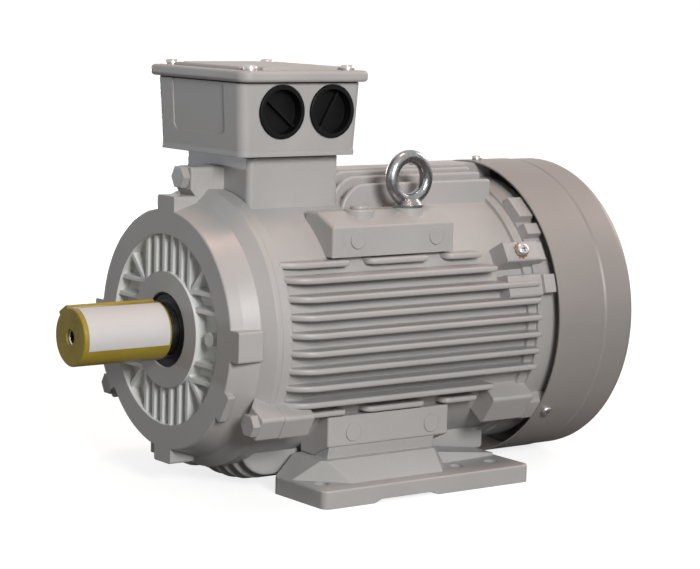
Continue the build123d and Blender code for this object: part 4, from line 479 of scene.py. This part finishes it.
@dataclass(frozen=True)
class Finish:
    """One surface finish: its colours, its texture and its wear.

    The colour and the shade are the lighter and the darker end of its mottling, and worn is the
    colour along its edges. Where milled_y is set, faces in front of that place on the shaft axis
    are milled, and the cast recess behind them gets a lighter colour that is painted light,
    standing in for light that reaches into the recess.
    """

    title: str
    colour: Colour
    shade: Colour
    worn: Colour
    skin: Skin = Skin.CAST
    metallic: float = 0.0
    roughness: tuple[float, float] = (0.38, 0.52)
    grain: float = 900.0
    depth: float = 0.12 * MM
    edge: float = 0.8 * MM
    wear: float = 0.35
    dust: float = 0.0
    coat: float = 0.0
    coat_roughness: float = 0.2
    specular: float = 0.5
    milled_y: float = 0.0
    milled_roughness: float = 0.24
    milled_depth: float = 0.15
    # Painted light: a lighter colour for the cast recess, standing in for light that reaches into
    # it.
    recess_painted_light: Colour = (0.68, 0.695, 0.68)
    tone_range: tuple[float, float] = (0.34, 0.66)
    rough_range: tuple[float, float] = (0.35, 0.65)
    patch_share: float = 0.35
    dust_roughness: float = 0.3

    def texture(self, graph: Graph) -> tuple[bpy.types.NodeSocket, bpy.types.NodeSocket]:
        """Adds the texture that belongs to the skin.

        Args:
            graph: The material's graph.

        Returns:
            The height and the tone of the texture.
        """
        if self.skin is Skin.LINED:
            made = DrawnLines.use(graph, Across=self.grain, Along=self.grain / LINE_STRETCH)
        else:
            scale = SKIN_SCALES[self.skin]
            made = CastSkin.use(graph, Grain=self.grain * scale.grain_factor,
                                Pits=self.grain / scale.pit_divisor, Clouds=scale.clouds)
        return made.outputs["Height"], made.outputs["Tone"]

    def worn_colour(self, graph: Graph, tone: bpy.types.NodeSocket,
                    mask: bpy.types.NodeSocket) -> bpy.types.NodeSocket:
        """Mottles the colour by the tone and wears it along the edges.

        Args:
            graph: The material's graph.
            tone: The texture's tone.
            mask: The mask of the edges.

        Returns:
            The colour's socket.
        """
        worn = graph.math("MULTIPLY", mask, self.wear)
        colour = graph.blend(graph.spread(tone, *self.tone_range), self.shade, self.colour)
        return graph.blend(worn, colour, self.worn)

    def dusted(self, graph: Graph, colour: bpy.types.NodeSocket,
               rough: bpy.types.NodeSocket) -> tuple[bpy.types.NodeSocket, bpy.types.NodeSocket]:
        """Lays a thin film of dust on the faces that look up.

        Args:
            graph: The material's graph.
            colour: The colour under the dust.
            rough: The roughness under the dust.

        Returns:
            The colour and the roughness with the dust.
        """
        film = graph.math("MULTIPLY", SettledDust.use(graph).outputs["Mask"], self.dust)
        extra = graph.math("MULTIPLY", film, self.dust_roughness)
        return graph.blend(film, colour, DUST_COLOUR), graph.math("ADD", rough, extra)

    def material(self) -> bpy.types.Material:
        """Gives the material and builds it the first time.

        Returns:
            The finished material.
        """
        found = bpy.data.materials.get(self.title)
        if found is not None:
            return found
        made = bpy.data.materials.new(self.title)
        made.use_nodes = True
        graph = Graph(made.node_tree)
        surface = made.node_tree.nodes["Principled BSDF"]
        height, tone = self.texture(graph)
        edges = EdgeWear.use(graph, Radius=self.edge, Breakup=self.grain * self.patch_share)
        colour = self.worn_colour(graph, tone, edges.outputs["Mask"])
        rough = graph.spread(tone, *self.rough_range, *self.roughness)
        if self.dust:
            colour, rough = self.dusted(graph, colour, rough)
        depth = self.depth
        if self.milled_y:
            face = MilledFace.use(graph, Plane=self.milled_y)
            milled = face.outputs["Mask"]
            colour = graph.blend(milled, colour, self.shade)
            # Painted light: the recess behind the milled face takes the lighter colour in place of
            # light reaching into it.
            colour = graph.blend(face.outputs["Recess Painted Light"], colour, self.recess_painted_light)
            rough = graph.math("ADD", rough, graph.math("MULTIPLY", milled, self.milled_roughness))
            depth = graph.spread(milled, 0.0, 1.0, self.depth, self.depth * self.milled_depth)
        bump = graph.node("Bump")
        graph.feed(bump, Strength=1.0, Distance=depth, Height=height,
                   Normal=edges.outputs["Normal"])
        graph.feed(surface, Base_Color=colour, Roughness=rough, Metallic=self.metallic,
                   Coat_Weight=self.coat, Coat_Roughness=self.coat_roughness,
                   Specular_IOR_Level=self.specular, Normal=bump.outputs["Normal"])
        made.diffuse_color = (*self.colour, 1.0)
        return made


def grey(level: float, warmth: float = 0.0) -> Colour:
    """Gives a grey with a little warmth.

    Args:
        level: The grey's linear level.
        warmth: How much red rises and blue falls, as a share of the level.

    Returns:
        The colour's linear red, green and blue.
    """
    return (level * (1 + warmth), level, level * (1 - warmth))


CAST_PAINT = Finish(
    "light grey paint on cast aluminium", (0.430, 0.423, 0.416), (0.388, 0.381, 0.374),
    (0.51, 0.50, 0.49), roughness=(0.28, 0.42), grain=520.0, depth=0.10 * MM, edge=1.0 * MM,
    wear=0.14, dust=0.04)
# The shields' recess behind the milled face gets the painted-light colour.
SHIELD_PAINT = replace(
    CAST_PAINT, title="light grey paint on the shields", milled_y=-172.7 * MM)
BOX_PAINT = replace(
    CAST_PAINT, title="light grey paint on the terminal box", roughness=(0.40, 0.50),
    depth=0.07 * MM, specular=0.35)
SHEET_PAINT = Finish(
    "light grey paint on sheet steel", (0.286, 0.268, 0.256), (0.266, 0.249, 0.238),
    (0.39, 0.38, 0.37), skin=Skin.SHEET, roughness=(0.40, 0.47), grain=620.0, depth=0.012 * MM,
    edge=0.8 * MM, wear=0.1)
BOLT_PAINT = Finish(
    "light grey paint over bolts", (0.41, 0.403, 0.396), (0.35, 0.343, 0.337), (0.51, 0.50, 0.49),
    roughness=(0.24, 0.38), grain=700.0, depth=0.08 * MM, edge=0.8 * MM, wear=0.5)
ZINC = Finish(
    "zinc-plated screws", grey(0.56), grey(0.40, 0.02), grey(0.70), skin=Skin.SHEET, metallic=0.9,
    roughness=(0.24, 0.42), grain=1800.0, depth=0.02 * MM, edge=0.3 * MM, wear=0.6)
EYEBOLT_ZINC = Finish(
    "zinc-plated forging", grey(0.40, -0.01), grey(0.16, -0.02), grey(0.6), metallic=1.0,
    roughness=(0.16, 0.34), grain=420.0, depth=0.22 * MM, edge=0.5 * MM, wear=0.5)
COPPER = Finish(
    "copper-coloured washer", (0.42, 0.22, 0.12), (0.30, 0.16, 0.09), (0.62, 0.38, 0.24),
    skin=Skin.SHEET, metallic=0.9, roughness=(0.3, 0.45), grain=1800.0, depth=0.02 * MM,
    edge=0.3 * MM)
SHAFT_STEEL = Finish(
    "turned steel", grey(0.55, 0.01), grey(0.42), grey(0.68), skin=Skin.LINED, metallic=1.0,
    roughness=(0.20, 0.34), grain=2400.0, depth=0.01 * MM, edge=0.4 * MM, wear=0.6)
BEARING_STEEL = Finish(
    "ground bearing steel", grey(0.62), grey(0.55), grey(0.72), skin=Skin.LINED, metallic=1.0,
    roughness=(0.10, 0.2), grain=4000.0, depth=0.004 * MM, edge=0.3 * MM)
CAGE_STEEL = Finish(
    "pressed cage steel", grey(0.50), grey(0.42), grey(0.62), skin=Skin.SHEET, metallic=1.0,
    roughness=(0.28, 0.4), grain=1500.0, depth=0.01 * MM, edge=0.3 * MM)
SPRING_STEEL = Finish(
    "phosphated spring steel", grey(0.16), grey(0.10), grey(0.34), skin=Skin.SHEET, metallic=0.9,
    roughness=(0.35, 0.5), grain=1500.0, depth=0.01 * MM, edge=0.3 * MM)
RUBBER = Finish(
    "black seal rubber", grey(0.006), grey(0.004), grey(0.02), skin=Skin.MOULDED,
    roughness=(0.45, 0.58), grain=900.0, depth=0.02 * MM, edge=0.4 * MM, wear=0.3, specular=0.25)
GASKET = Finish(
    "dark gasket sheet", grey(0.03), grey(0.02), grey(0.06), skin=Skin.MOULDED,
    roughness=(0.7, 0.85), grain=1200.0, depth=0.03 * MM, edge=0.3 * MM)
CORE_STEEL = Finish(
    "stacked core sheets", grey(0.20, -0.02), grey(0.10, -0.02), grey(0.38), skin=Skin.LINED,
    metallic=0.8, roughness=(0.4, 0.6), grain=2000.0, depth=0.08 * MM, edge=0.3 * MM)
WINDING = Finish(
    "varnished copper windings", (0.48, 0.17, 0.06), (0.26, 0.08, 0.03), (0.62, 0.28, 0.12),
    skin=Skin.MOULDED, metallic=0.6, roughness=(0.25, 0.4), grain=600.0, depth=0.3 * MM,
    edge=0.8 * MM, coat=0.5)
BARE_CASTING = Finish(
    "bare cast aluminium", grey(0.52), grey(0.40), grey(0.66), metallic=0.9,
    roughness=(0.35, 0.5), grain=1100.0, depth=0.08 * MM)
LEAD_SLEEVE = Finish(
    "glossy wire sleeve", grey(0.03), grey(0.02), grey(0.06), skin=Skin.MOULDED,
    roughness=(0.25, 0.35), grain=900.0, depth=0.01 * MM, edge=0.3 * MM)
BOARD_RESIN = Finish(
    "brown moulded resin", (0.14, 0.05, 0.03), (0.09, 0.03, 0.02), (0.24, 0.1, 0.06),
    skin=Skin.MOULDED, roughness=(0.3, 0.42), grain=900.0, depth=0.02 * MM, edge=0.5 * MM)
BRASS = Finish(
    "machined brass", (0.62, 0.42, 0.16), (0.50, 0.33, 0.12), (0.76, 0.56, 0.28), skin=Skin.LINED,
    metallic=1.0, roughness=(0.2, 0.34), grain=2400.0, depth=0.01 * MM, edge=0.3 * MM)
FAN_PLASTIC = Finish(
    "black fan plastic", grey(0.03), grey(0.022), grey(0.07), skin=Skin.MOULDED,
    roughness=(0.5, 0.62), grain=800.0, depth=0.03 * MM, edge=0.6 * MM)
CAP_PLASTIC = Finish(
    "olive-yellow cap plastic", (0.36, 0.27, 0.025), (0.29, 0.215, 0.018), (0.56, 0.44, 0.08),
    skin=Skin.MOULDED, roughness=(0.26, 0.38), grain=500.0, depth=0.04 * MM, edge=0.8 * MM,
    wear=0.5)
PLUG_PLASTIC = Finish(
    "black plug plastic", grey(0.004), grey(0.003), grey(0.014), skin=Skin.MOULDED,
    roughness=(0.42, 0.54), grain=900.0, depth=0.02 * MM, edge=0.6 * MM, wear=0.3, specular=0.18)
LABEL_PAPER = Finish(
    "blank white label", grey(0.62, 0.005), grey(0.57, 0.01), grey(0.66), skin=Skin.SHEET,
    roughness=(0.45, 0.55), grain=1200.0, depth=0.01 * MM, edge=0.2 * MM, wear=0.2)

SLOT_FINISHES: dict[str, Finish] = {
    "frame_paint": CAST_PAINT,
    "foot_paint": CAST_PAINT,
    "shield_paint": SHIELD_PAINT,
    "box_paint": BOX_PAINT,
    "cowl_paint": SHEET_PAINT,
    "painted_bolts": BOLT_PAINT,
    "zinc_screws": ZINC,
    "zinc_eyebolts": EYEBOLT_ZINC,
    "plug_steel": BOLT_PAINT,
    "copper_washer": COPPER,
    "shaft_steel": SHAFT_STEEL,
    "bearing_steel": BEARING_STEEL,
    "bearing_cage_steel": CAGE_STEEL,
    "spring_steel": SPRING_STEEL,
    "black_rubber": RUBBER,
    "gasket_rubber": GASKET,
    "core_steel": CORE_STEEL,
    "copper_winding": WINDING,
    "cage_aluminium": BARE_CASTING,
    "lead_insulation": LEAD_SLEEVE,
    "board_plastic": BOARD_RESIN,
    "terminal_brass": BRASS,
    "fan_plastic": FAN_PLASTIC,
    "cap_plastic": CAP_PLASTIC,
    "plug_plastic": PLUG_PLASTIC,
}


@dataclass
class SolidDress:
    """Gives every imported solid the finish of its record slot."""

    frame: dict
    finishes: dict[str, Finish] = field(default_factory=lambda: dict(SLOT_FINISHES))

    def dress(self) -> int:
        """Puts each finish into its node's material slot.

        Returns:
            The number of nodes that were dressed.
        """
        count = 0
        for entry in self.frame["record"]["subparts"]:
            node = self.frame["nodes"][entry["node"]]
            finish = self.finishes[entry["material_slot"]].material()
            for place in node.material_slots:
                place.material = finish
            count += 1
        return count


# ---------------------------------------------------------------- modelling steps
class Workbench:
    """Operator steps that the modelled pieces share."""

    merge_reach = 0.002 * MM

    @staticmethod
    def clear() -> None:
        """Leaves nothing selected."""
        bpy.ops.object.select_all(action="DESELECT")

    @staticmethod
    def pick(piece: bpy.types.Object) -> None:
        """Selects one piece alone and makes it the active one.

        Args:
            piece: The piece to select.
        """
        Workbench.clear()
        bpy.context.view_layer.objects.active = piece
        piece.select_set(True)

    @staticmethod
    def edit(piece: bpy.types.Object, mode: str = "FACE") -> None:
        """Opens a piece in edit mode with nothing selected.

        Args:
            piece: The piece to open.
            mode: The kind of element to select, such as FACE or VERT.
        """
        Workbench.pick(piece)
        bpy.ops.object.mode_set(mode="EDIT")
        bpy.ops.mesh.select_mode(type=mode)
        bpy.ops.mesh.select_all(action="DESELECT")

    @staticmethod
    def leave() -> None:
        """Goes back to object mode."""
        bpy.ops.object.mode_set(mode="OBJECT")

    @staticmethod
    def choose(piece: bpy.types.Object, test: Callable[[Vector, Vector], bool],
               mode: str = "FACE") -> None:
        """Selects the faces or corners that pass a test on their place and normal, in edit mode.

        Args:
            piece: The piece whose mesh is searched.
            test: Takes a place and a normal, and says whether the element belongs.
            mode: FACE or VERT.
        """
        Workbench.edit(piece, mode)
        Workbench.leave()
        if mode == "FACE":
            places = [(face, face.center) for face in piece.data.polygons]
        else:
            places = [(corner, corner.co) for corner in piece.data.vertices]
        for element, place in places:
            element.select = test(place, element.normal)
        bpy.ops.object.mode_set(mode="EDIT")

    @staticmethod
    def modify(piece: bpy.types.Object, kind: str, **settings: object) -> None:
        """Adds a modifier, sets it and applies it.

        Args:
            piece: The piece that gets the modifier.
            kind: The modifier's type.
            settings: The modifier's properties and their values.
        """
        Workbench.pick(piece)
        made = piece.modifiers.new(kind.lower(), kind)
        for name, value in settings.items():
            setattr(made, name, value)
        bpy.ops.object.modifier_apply(modifier=made.name)

    @staticmethod
    def settle(piece: bpy.types.Object) -> None:
        """Puts a piece's place, turn and scale into its mesh.

        Args:
            piece: The piece to settle.
        """
        Workbench.pick(piece)
        bpy.ops.object.transform_apply(location=True, rotation=True, scale=True)

    @staticmethod
    def smooth(piece: bpy.types.Object, angle: float = 35.0) -> None:
        """Shades a piece smooth up to an angle and turns its faces outwards.

        Args:
            piece: The piece to shade.
            angle: The angle in degrees past which an edge stays sharp.
        """
        Workbench.edit(piece)
        bpy.ops.mesh.select_all(action="SELECT")
        bpy.ops.mesh.remove_doubles(threshold=Workbench.merge_reach)
        bpy.ops.mesh.normals_make_consistent(inside=False)
        Workbench.leave()
        bpy.ops.object.shade_smooth_by_angle(angle=math.radians(angle))

    @staticmethod
    def finish(piece: bpy.types.Object, name: str, finish: Finish, body: str,
               slot: str = "") -> None:
        """Names a piece, gives it its finish and joins it to a body.

        Args:
            piece: The finished mesh.
            name: The piece's name.
            finish: Its surface finish.
            body: The body that it moves with.
            slot: The record's material slot, where one fits; not used.
        """
        piece.name = name
        piece.data.name = name
        piece.data.materials.clear()
        piece.data.materials.append(finish.material())
        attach(piece, body)


@dataclass
class AxisPiece:
    """A piece that is placed by an angle and a distance from the shaft axis."""

    axis_height: float = 132.0 * MM

    def swing(self, piece: bpy.types.Object, angle: float) -> None:
        """Swings a piece drawn at +X about the Y axis, lifts it to the shaft axis and settles it.

        Args:
            piece: The piece, drawn about the origin.
            angle: The angle from +X towards +Z, in degrees.
        """
        Workbench.settle(piece)
        piece.rotation_euler = (0.0, -math.radians(angle), 0.0)
        piece.location = (0.0, 0.0, self.axis_height)
        Workbench.settle(piece)


@dataclass
class CapLabel(AxisPiece):
    """The blank label that is wrapped round the shaft cap."""

    inner_r: float = 23.94 * MM
    thickness: float = 0.16 * MM
    start_y: float = -256.6 * MM
    end_y: float = -181.6 * MM
    low_angle: float = -22.0
    high_angle: float = 78.0
    sides: int = 180
    cuts: int = 5
    lift: float = 0.5 * MM
    corner_reach: float = 2.5 * MM
    curl_reach: float = 9.0 * MM

    def build(self) -> bpy.types.Object:
        """Cuts the label from a tube, lifts one corner a little and gives it its thickness.

        Returns:
            The label.
        """
        Workbench.clear()
        length = self.end_y - self.start_y
        bpy.ops.mesh.primitive_cylinder_add(
            vertices=self.sides, radius=self.inner_r, depth=length, end_fill_type="NOTHING",
            location=(0, (self.start_y + self.end_y) / 2, 0), rotation=(math.pi / 2, 0, 0))
        label = bpy.context.active_object
        Workbench.settle(label)
        low, high = math.radians(self.low_angle), math.radians(self.high_angle)
        Workbench.choose(label, lambda place, _: not low < math.atan2(place.z, place.x) < high)
        bpy.ops.mesh.delete(type="FACE")
        bpy.ops.mesh.select_all(action="SELECT")
        bpy.ops.mesh.subdivide(number_cuts=self.cuts)
        Workbench.leave()
        self.lift_corner(label, low)
        Workbench.modify(label, "SOLIDIFY", thickness=self.thickness, offset=1.0)
        self.swing(label, 0.0)
        Workbench.smooth(label)
        Workbench.finish(label, "shaft_cap_label", LABEL_PAPER, "shaft_end_cap")
        return label

    def lift_corner(self, label: bpy.types.Object, angle: float) -> None:
        """Raises the lower front corner of the sheet off the cap.

        Args:
            label: The thin sheet.
            angle: The angle of its lower edge, in radians.
        """
        outward = Vector((math.cos(angle), 0, math.sin(angle)))
        corner = outward * self.inner_r + Vector((0, self.start_y, 0))
        reach = self.corner_reach
        Workbench.choose(label, lambda place, _: (place - corner).length < reach, "VERT")
        bpy.ops.transform.translate(value=outward * self.lift, use_proportional_edit=True,
                                    proportional_edit_falloff="SMOOTH",
                                    proportional_size=self.curl_reach)
        Workbench.leave()


@dataclass
class ShaftKey(AxisPiece):
    """The round-ended key in the shaft's keyway, which shows once the cap is off."""

    angle: float = 119.0
    floor_r: float = 14.02 * MM
    top_r: float = 21.98 * MM
    width: float = 9.96 * MM
    start_y: float = -252.98 * MM
    end_y: float = -183.02 * MM
    sides: int = 48
    edge: float = 0.4 * MM
    margin: float = 0.01 * MM

    def build(self) -> bpy.types.Object:
        """Stretches a round peg along the shaft and breaks its edges.

        Returns:
            The key.
        """
        Workbench.clear()
        radius = self.width / 2
        middle = self.start_y + radius
        bpy.ops.mesh.primitive_cylinder_add(
            vertices=self.sides, radius=radius, depth=self.top_r - self.floor_r,
            location=((self.floor_r + self.top_r) / 2, middle, 0), rotation=(0, math.pi / 2, 0))
        key = bpy.context.active_object
        Workbench.settle(key)
        Workbench.choose(key, lambda place, _: place.y > middle + self.margin, "VERT")
        bpy.ops.transform.translate(value=(0, self.end_y - self.start_y - self.width, 0))
        Workbench.leave()
        Workbench.modify(key, "BEVEL", width=self.edge, segments=2, limit_method="ANGLE")
        self.swing(key, self.angle)
        Workbench.smooth(key)
        Workbench.finish(key, "shaft_key", SHAFT_STEEL, "rotor", "shaft_steel")
        return key


@dataclass
class StarWasher(AxisPiece):
    """The toothed lock washer under the earthing screw."""

    angle: float = 29.0
    teeth: int = 12
    outer_r: float = 7.4 * MM
    root_r: float = 5.9 * MM
    hole_r: float = 3.4 * MM
    thickness: float = 1.2 * MM
    edge: float = 0.12 * MM
    margin: float = 0.01

    def build(self) -> bpy.types.Object:
        """Draws the ring flat, pulls its tooth gaps in and sets it under the screw's head.

        Returns:
            The washer.
        """
        low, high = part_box("earth_washer")
        middle = (low + high) / 2 - Vector((0, 0, self.axis_height))
        reach = math.hypot(middle.x, middle.z)
        Workbench.clear()
        bpy.ops.mesh.primitive_cylinder_add(vertices=4 * self.teeth, radius=self.outer_r,
                                            depth=self.thickness)
        washer = bpy.context.active_object
        step = math.tau / self.teeth
        Workbench.choose(washer, lambda _, normal: abs(normal.z) > 0.9)
        bpy.ops.mesh.inset(thickness=self.outer_r - self.hole_r)
        bpy.ops.mesh.bridge_edge_loops()
        Workbench.leave()
        Workbench.choose(washer, lambda place, _: place.xy.length > self.root_r and
                         math.atan2(place.y, place.x) % step > step / 2 - self.margin, "VERT")
        shrink = self.root_r / self.outer_r
        bpy.ops.transform.resize(value=(shrink, shrink, 1), center_override=(0, 0, 0))
        Workbench.leave()
        washer.rotation_euler = (0, math.pi / 2, 0)
        washer.location = (reach, middle.y, 0)
        self.swing(washer, self.angle)
        Workbench.modify(washer, "BEVEL", width=self.edge, segments=1, limit_method="ANGLE")
        Workbench.smooth(washer)
        Workbench.finish(washer, "earth_star_washer", COPPER, "housing", "copper_washer")
        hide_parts("earth_washer")
        return washer


# ---------------------------------------------------------------- studio
@dataclass
class Lamp:
    """One soft rectangular lamp that points at the motor."""

    title: str
    place: Vector
    size: tuple[float, float]
    power: float
    colour: Colour

    def add(self, target: Vector) -> bpy.types.Object:
        """Adds the lamp to the scene.

        Args:
            target: The point that the lamp faces.

        Returns:
            The lamp's object.
        """
        data = bpy.data.lights.new(self.title, "AREA")
        data.shape = "RECTANGLE"
        data.size, data.size_y = self.size
        data.energy = self.power
        data.color = self.colour
        made = bpy.data.objects.new(self.title, data)
        made.location = self.place
        made.rotation_euler = (target - self.place).to_track_quat("-Z", "Y").to_euler()
        bpy.context.scene.collection.objects.link(made)
        return made


@dataclass
class Studio:
    """The floor, the white surroundings and the lamps."""

    target: Vector = field(default_factory=lambda: Vector((0, 0, 0.17)))
    floor_size: float = 60.0
    floor_grey: float = 0.24
    seen_floor_grey: float = 0.36
    world_level: float = 0.14
    floor_glow: tuple[float, float] = (0.80, 1.0)
    glow_reach: tuple[float, float] = (0.45, 1.6)

    def lamps(self) -> list[Lamp]:
        """Lists the lamps of the set.

        Returns:
            The key lamp on the side of the cable entries, two warmer lamps above and behind,
            and two on the left that fill in.
        """
        return [
            Lamp("key lamp", Vector((2.2, -0.66, 1.00)), (0.6, 0.6), 47.0, (1.0, 0.985, 0.975)),
            Lamp("overhead lamp", Vector((0.22, 0.1, 2.3)), (0.3, 0.3), 12.0, (1.0, 0.60, 0.46)),
            Lamp("rear lamp", Vector((0.1, 2.2, 1.3)), (0.8, 0.8), 18.0, (1.0, 0.84, 0.76)),
            Lamp("left lamp", Vector((-2.0, 0.5, 0.25)), (0.9, 0.4), 14.0, (1.0, 0.985, 0.97)),
            Lamp("fill lamp", Vector((-1.75, -1.28, 0.30)), (0.12, 0.12), 3.8, (0.84, 0.92, 1.0)),
        ]

    def build_floor(self) -> bpy.types.Object:
        """Makes the pale floor, a plate that runs out into the white of the surroundings.

        Returns:
            The floor's object.
        """
        Workbench.clear()
        bpy.ops.mesh.primitive_plane_add(size=self.floor_size, location=(0, 0, 0))
        floor = bpy.context.active_object
        floor.name = "studio_floor"
        finish = bpy.data.materials.new("studio floor")
        finish.use_nodes = True
        graph = Graph(finish.node_tree)
        surface = finish.node_tree.nodes["Principled BSDF"]
        distance = graph.node("VectorMath", operation="LENGTH")
        graph.plug(distance.inputs[0], graph.place())
        seen = graph.node("LightPath").outputs["Is Camera Ray"]
        glow = graph.spread(distance.outputs["Value"], *self.glow_reach, *self.floor_glow)
        colour = graph.blend(seen, grey(self.floor_grey), grey(self.seen_floor_grey))
        graph.feed(surface, Base_Color=colour, Roughness=0.9, Specular_IOR_Level=0.1,
                   Emission_Color=WHITE, Emission_Strength=graph.math("MULTIPLY", seen, glow))
        floor.data.materials.append(finish)
        return floor

    def build_world(self) -> None:
        """Makes even light all round, white where the camera or a mirror looks at it."""
        world = bpy.data.worlds.new("studio light")
        world.use_nodes = True
        bpy.context.scene.world = world
        graph = Graph(world.node_tree)
        back = world.node_tree.nodes["Background"]
        rays = graph.node("LightPath")
        seen = rays.outputs["Is Camera Ray"]
        for kind in ("Is Transmission Ray", "Is Glossy Ray"):
            seen = graph.math("MAXIMUM", seen, rays.outputs[kind])
        strength = graph.spread(seen, 0.0, 1.0, self.world_level, 1.0)
        graph.feed(back, Color=WHITE, Strength=strength)

    def build(self) -> None:
        """Builds the floor, the world and the lamps."""
        self.build_floor()
        self.build_world()
        for lamp in self.lamps():
            lamp.add(self.target)


@dataclass
class Viewpoint:
    """The main camera, given by the direction it looks from and where it stands."""

    place: Vector = field(default_factory=lambda: Vector((1.57211, -1.15528, 0.41536)))
    azimuth: float = 53.33
    elevation: float = 7.47
    roll: float = 1.46
    lens: float = 117.64
    sensor_width: float = 36.0

    def add(self) -> bpy.types.Object:
        """Adds the camera and makes it the scene's own.

        Returns:
            The camera's object.
        """
        turn, rise = math.radians(self.azimuth), math.radians(self.elevation)
        back = Vector((math.sin(turn) * math.cos(rise), -math.cos(turn) * math.cos(rise),
                       math.sin(rise)))
        level = back.to_track_quat("Z", "Y")
        data = bpy.data.cameras.new("main camera")
        data.lens = self.lens
        data.sensor_width = self.sensor_width
        made = bpy.data.objects.new("main camera", data)
        made.location = self.place
        made.rotation_euler = (Quaternion(back, math.radians(self.roll)) @ level).to_euler()
        bpy.context.scene.collection.objects.link(made)
        bpy.context.scene.camera = made
        return made


def main() -> None:
    """Loads the solids, dresses them and builds the set."""
    logging.basicConfig(level=logging.INFO, format="%(name)s: %(message)s")
    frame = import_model()
    bpy.ops.object.select_all(action="DESELECT")
    log.info("dressed %d solids", SolidDress(frame).dress())
    for maker in (CapLabel(), ShaftKey(), StarWasher()):
        log.info("built %s", maker.build().name)
    Studio().build()
    Viewpoint().add()
    bpy.context.scene.view_settings.view_transform = "Standard"


if __name__ == "__main__":
    main()
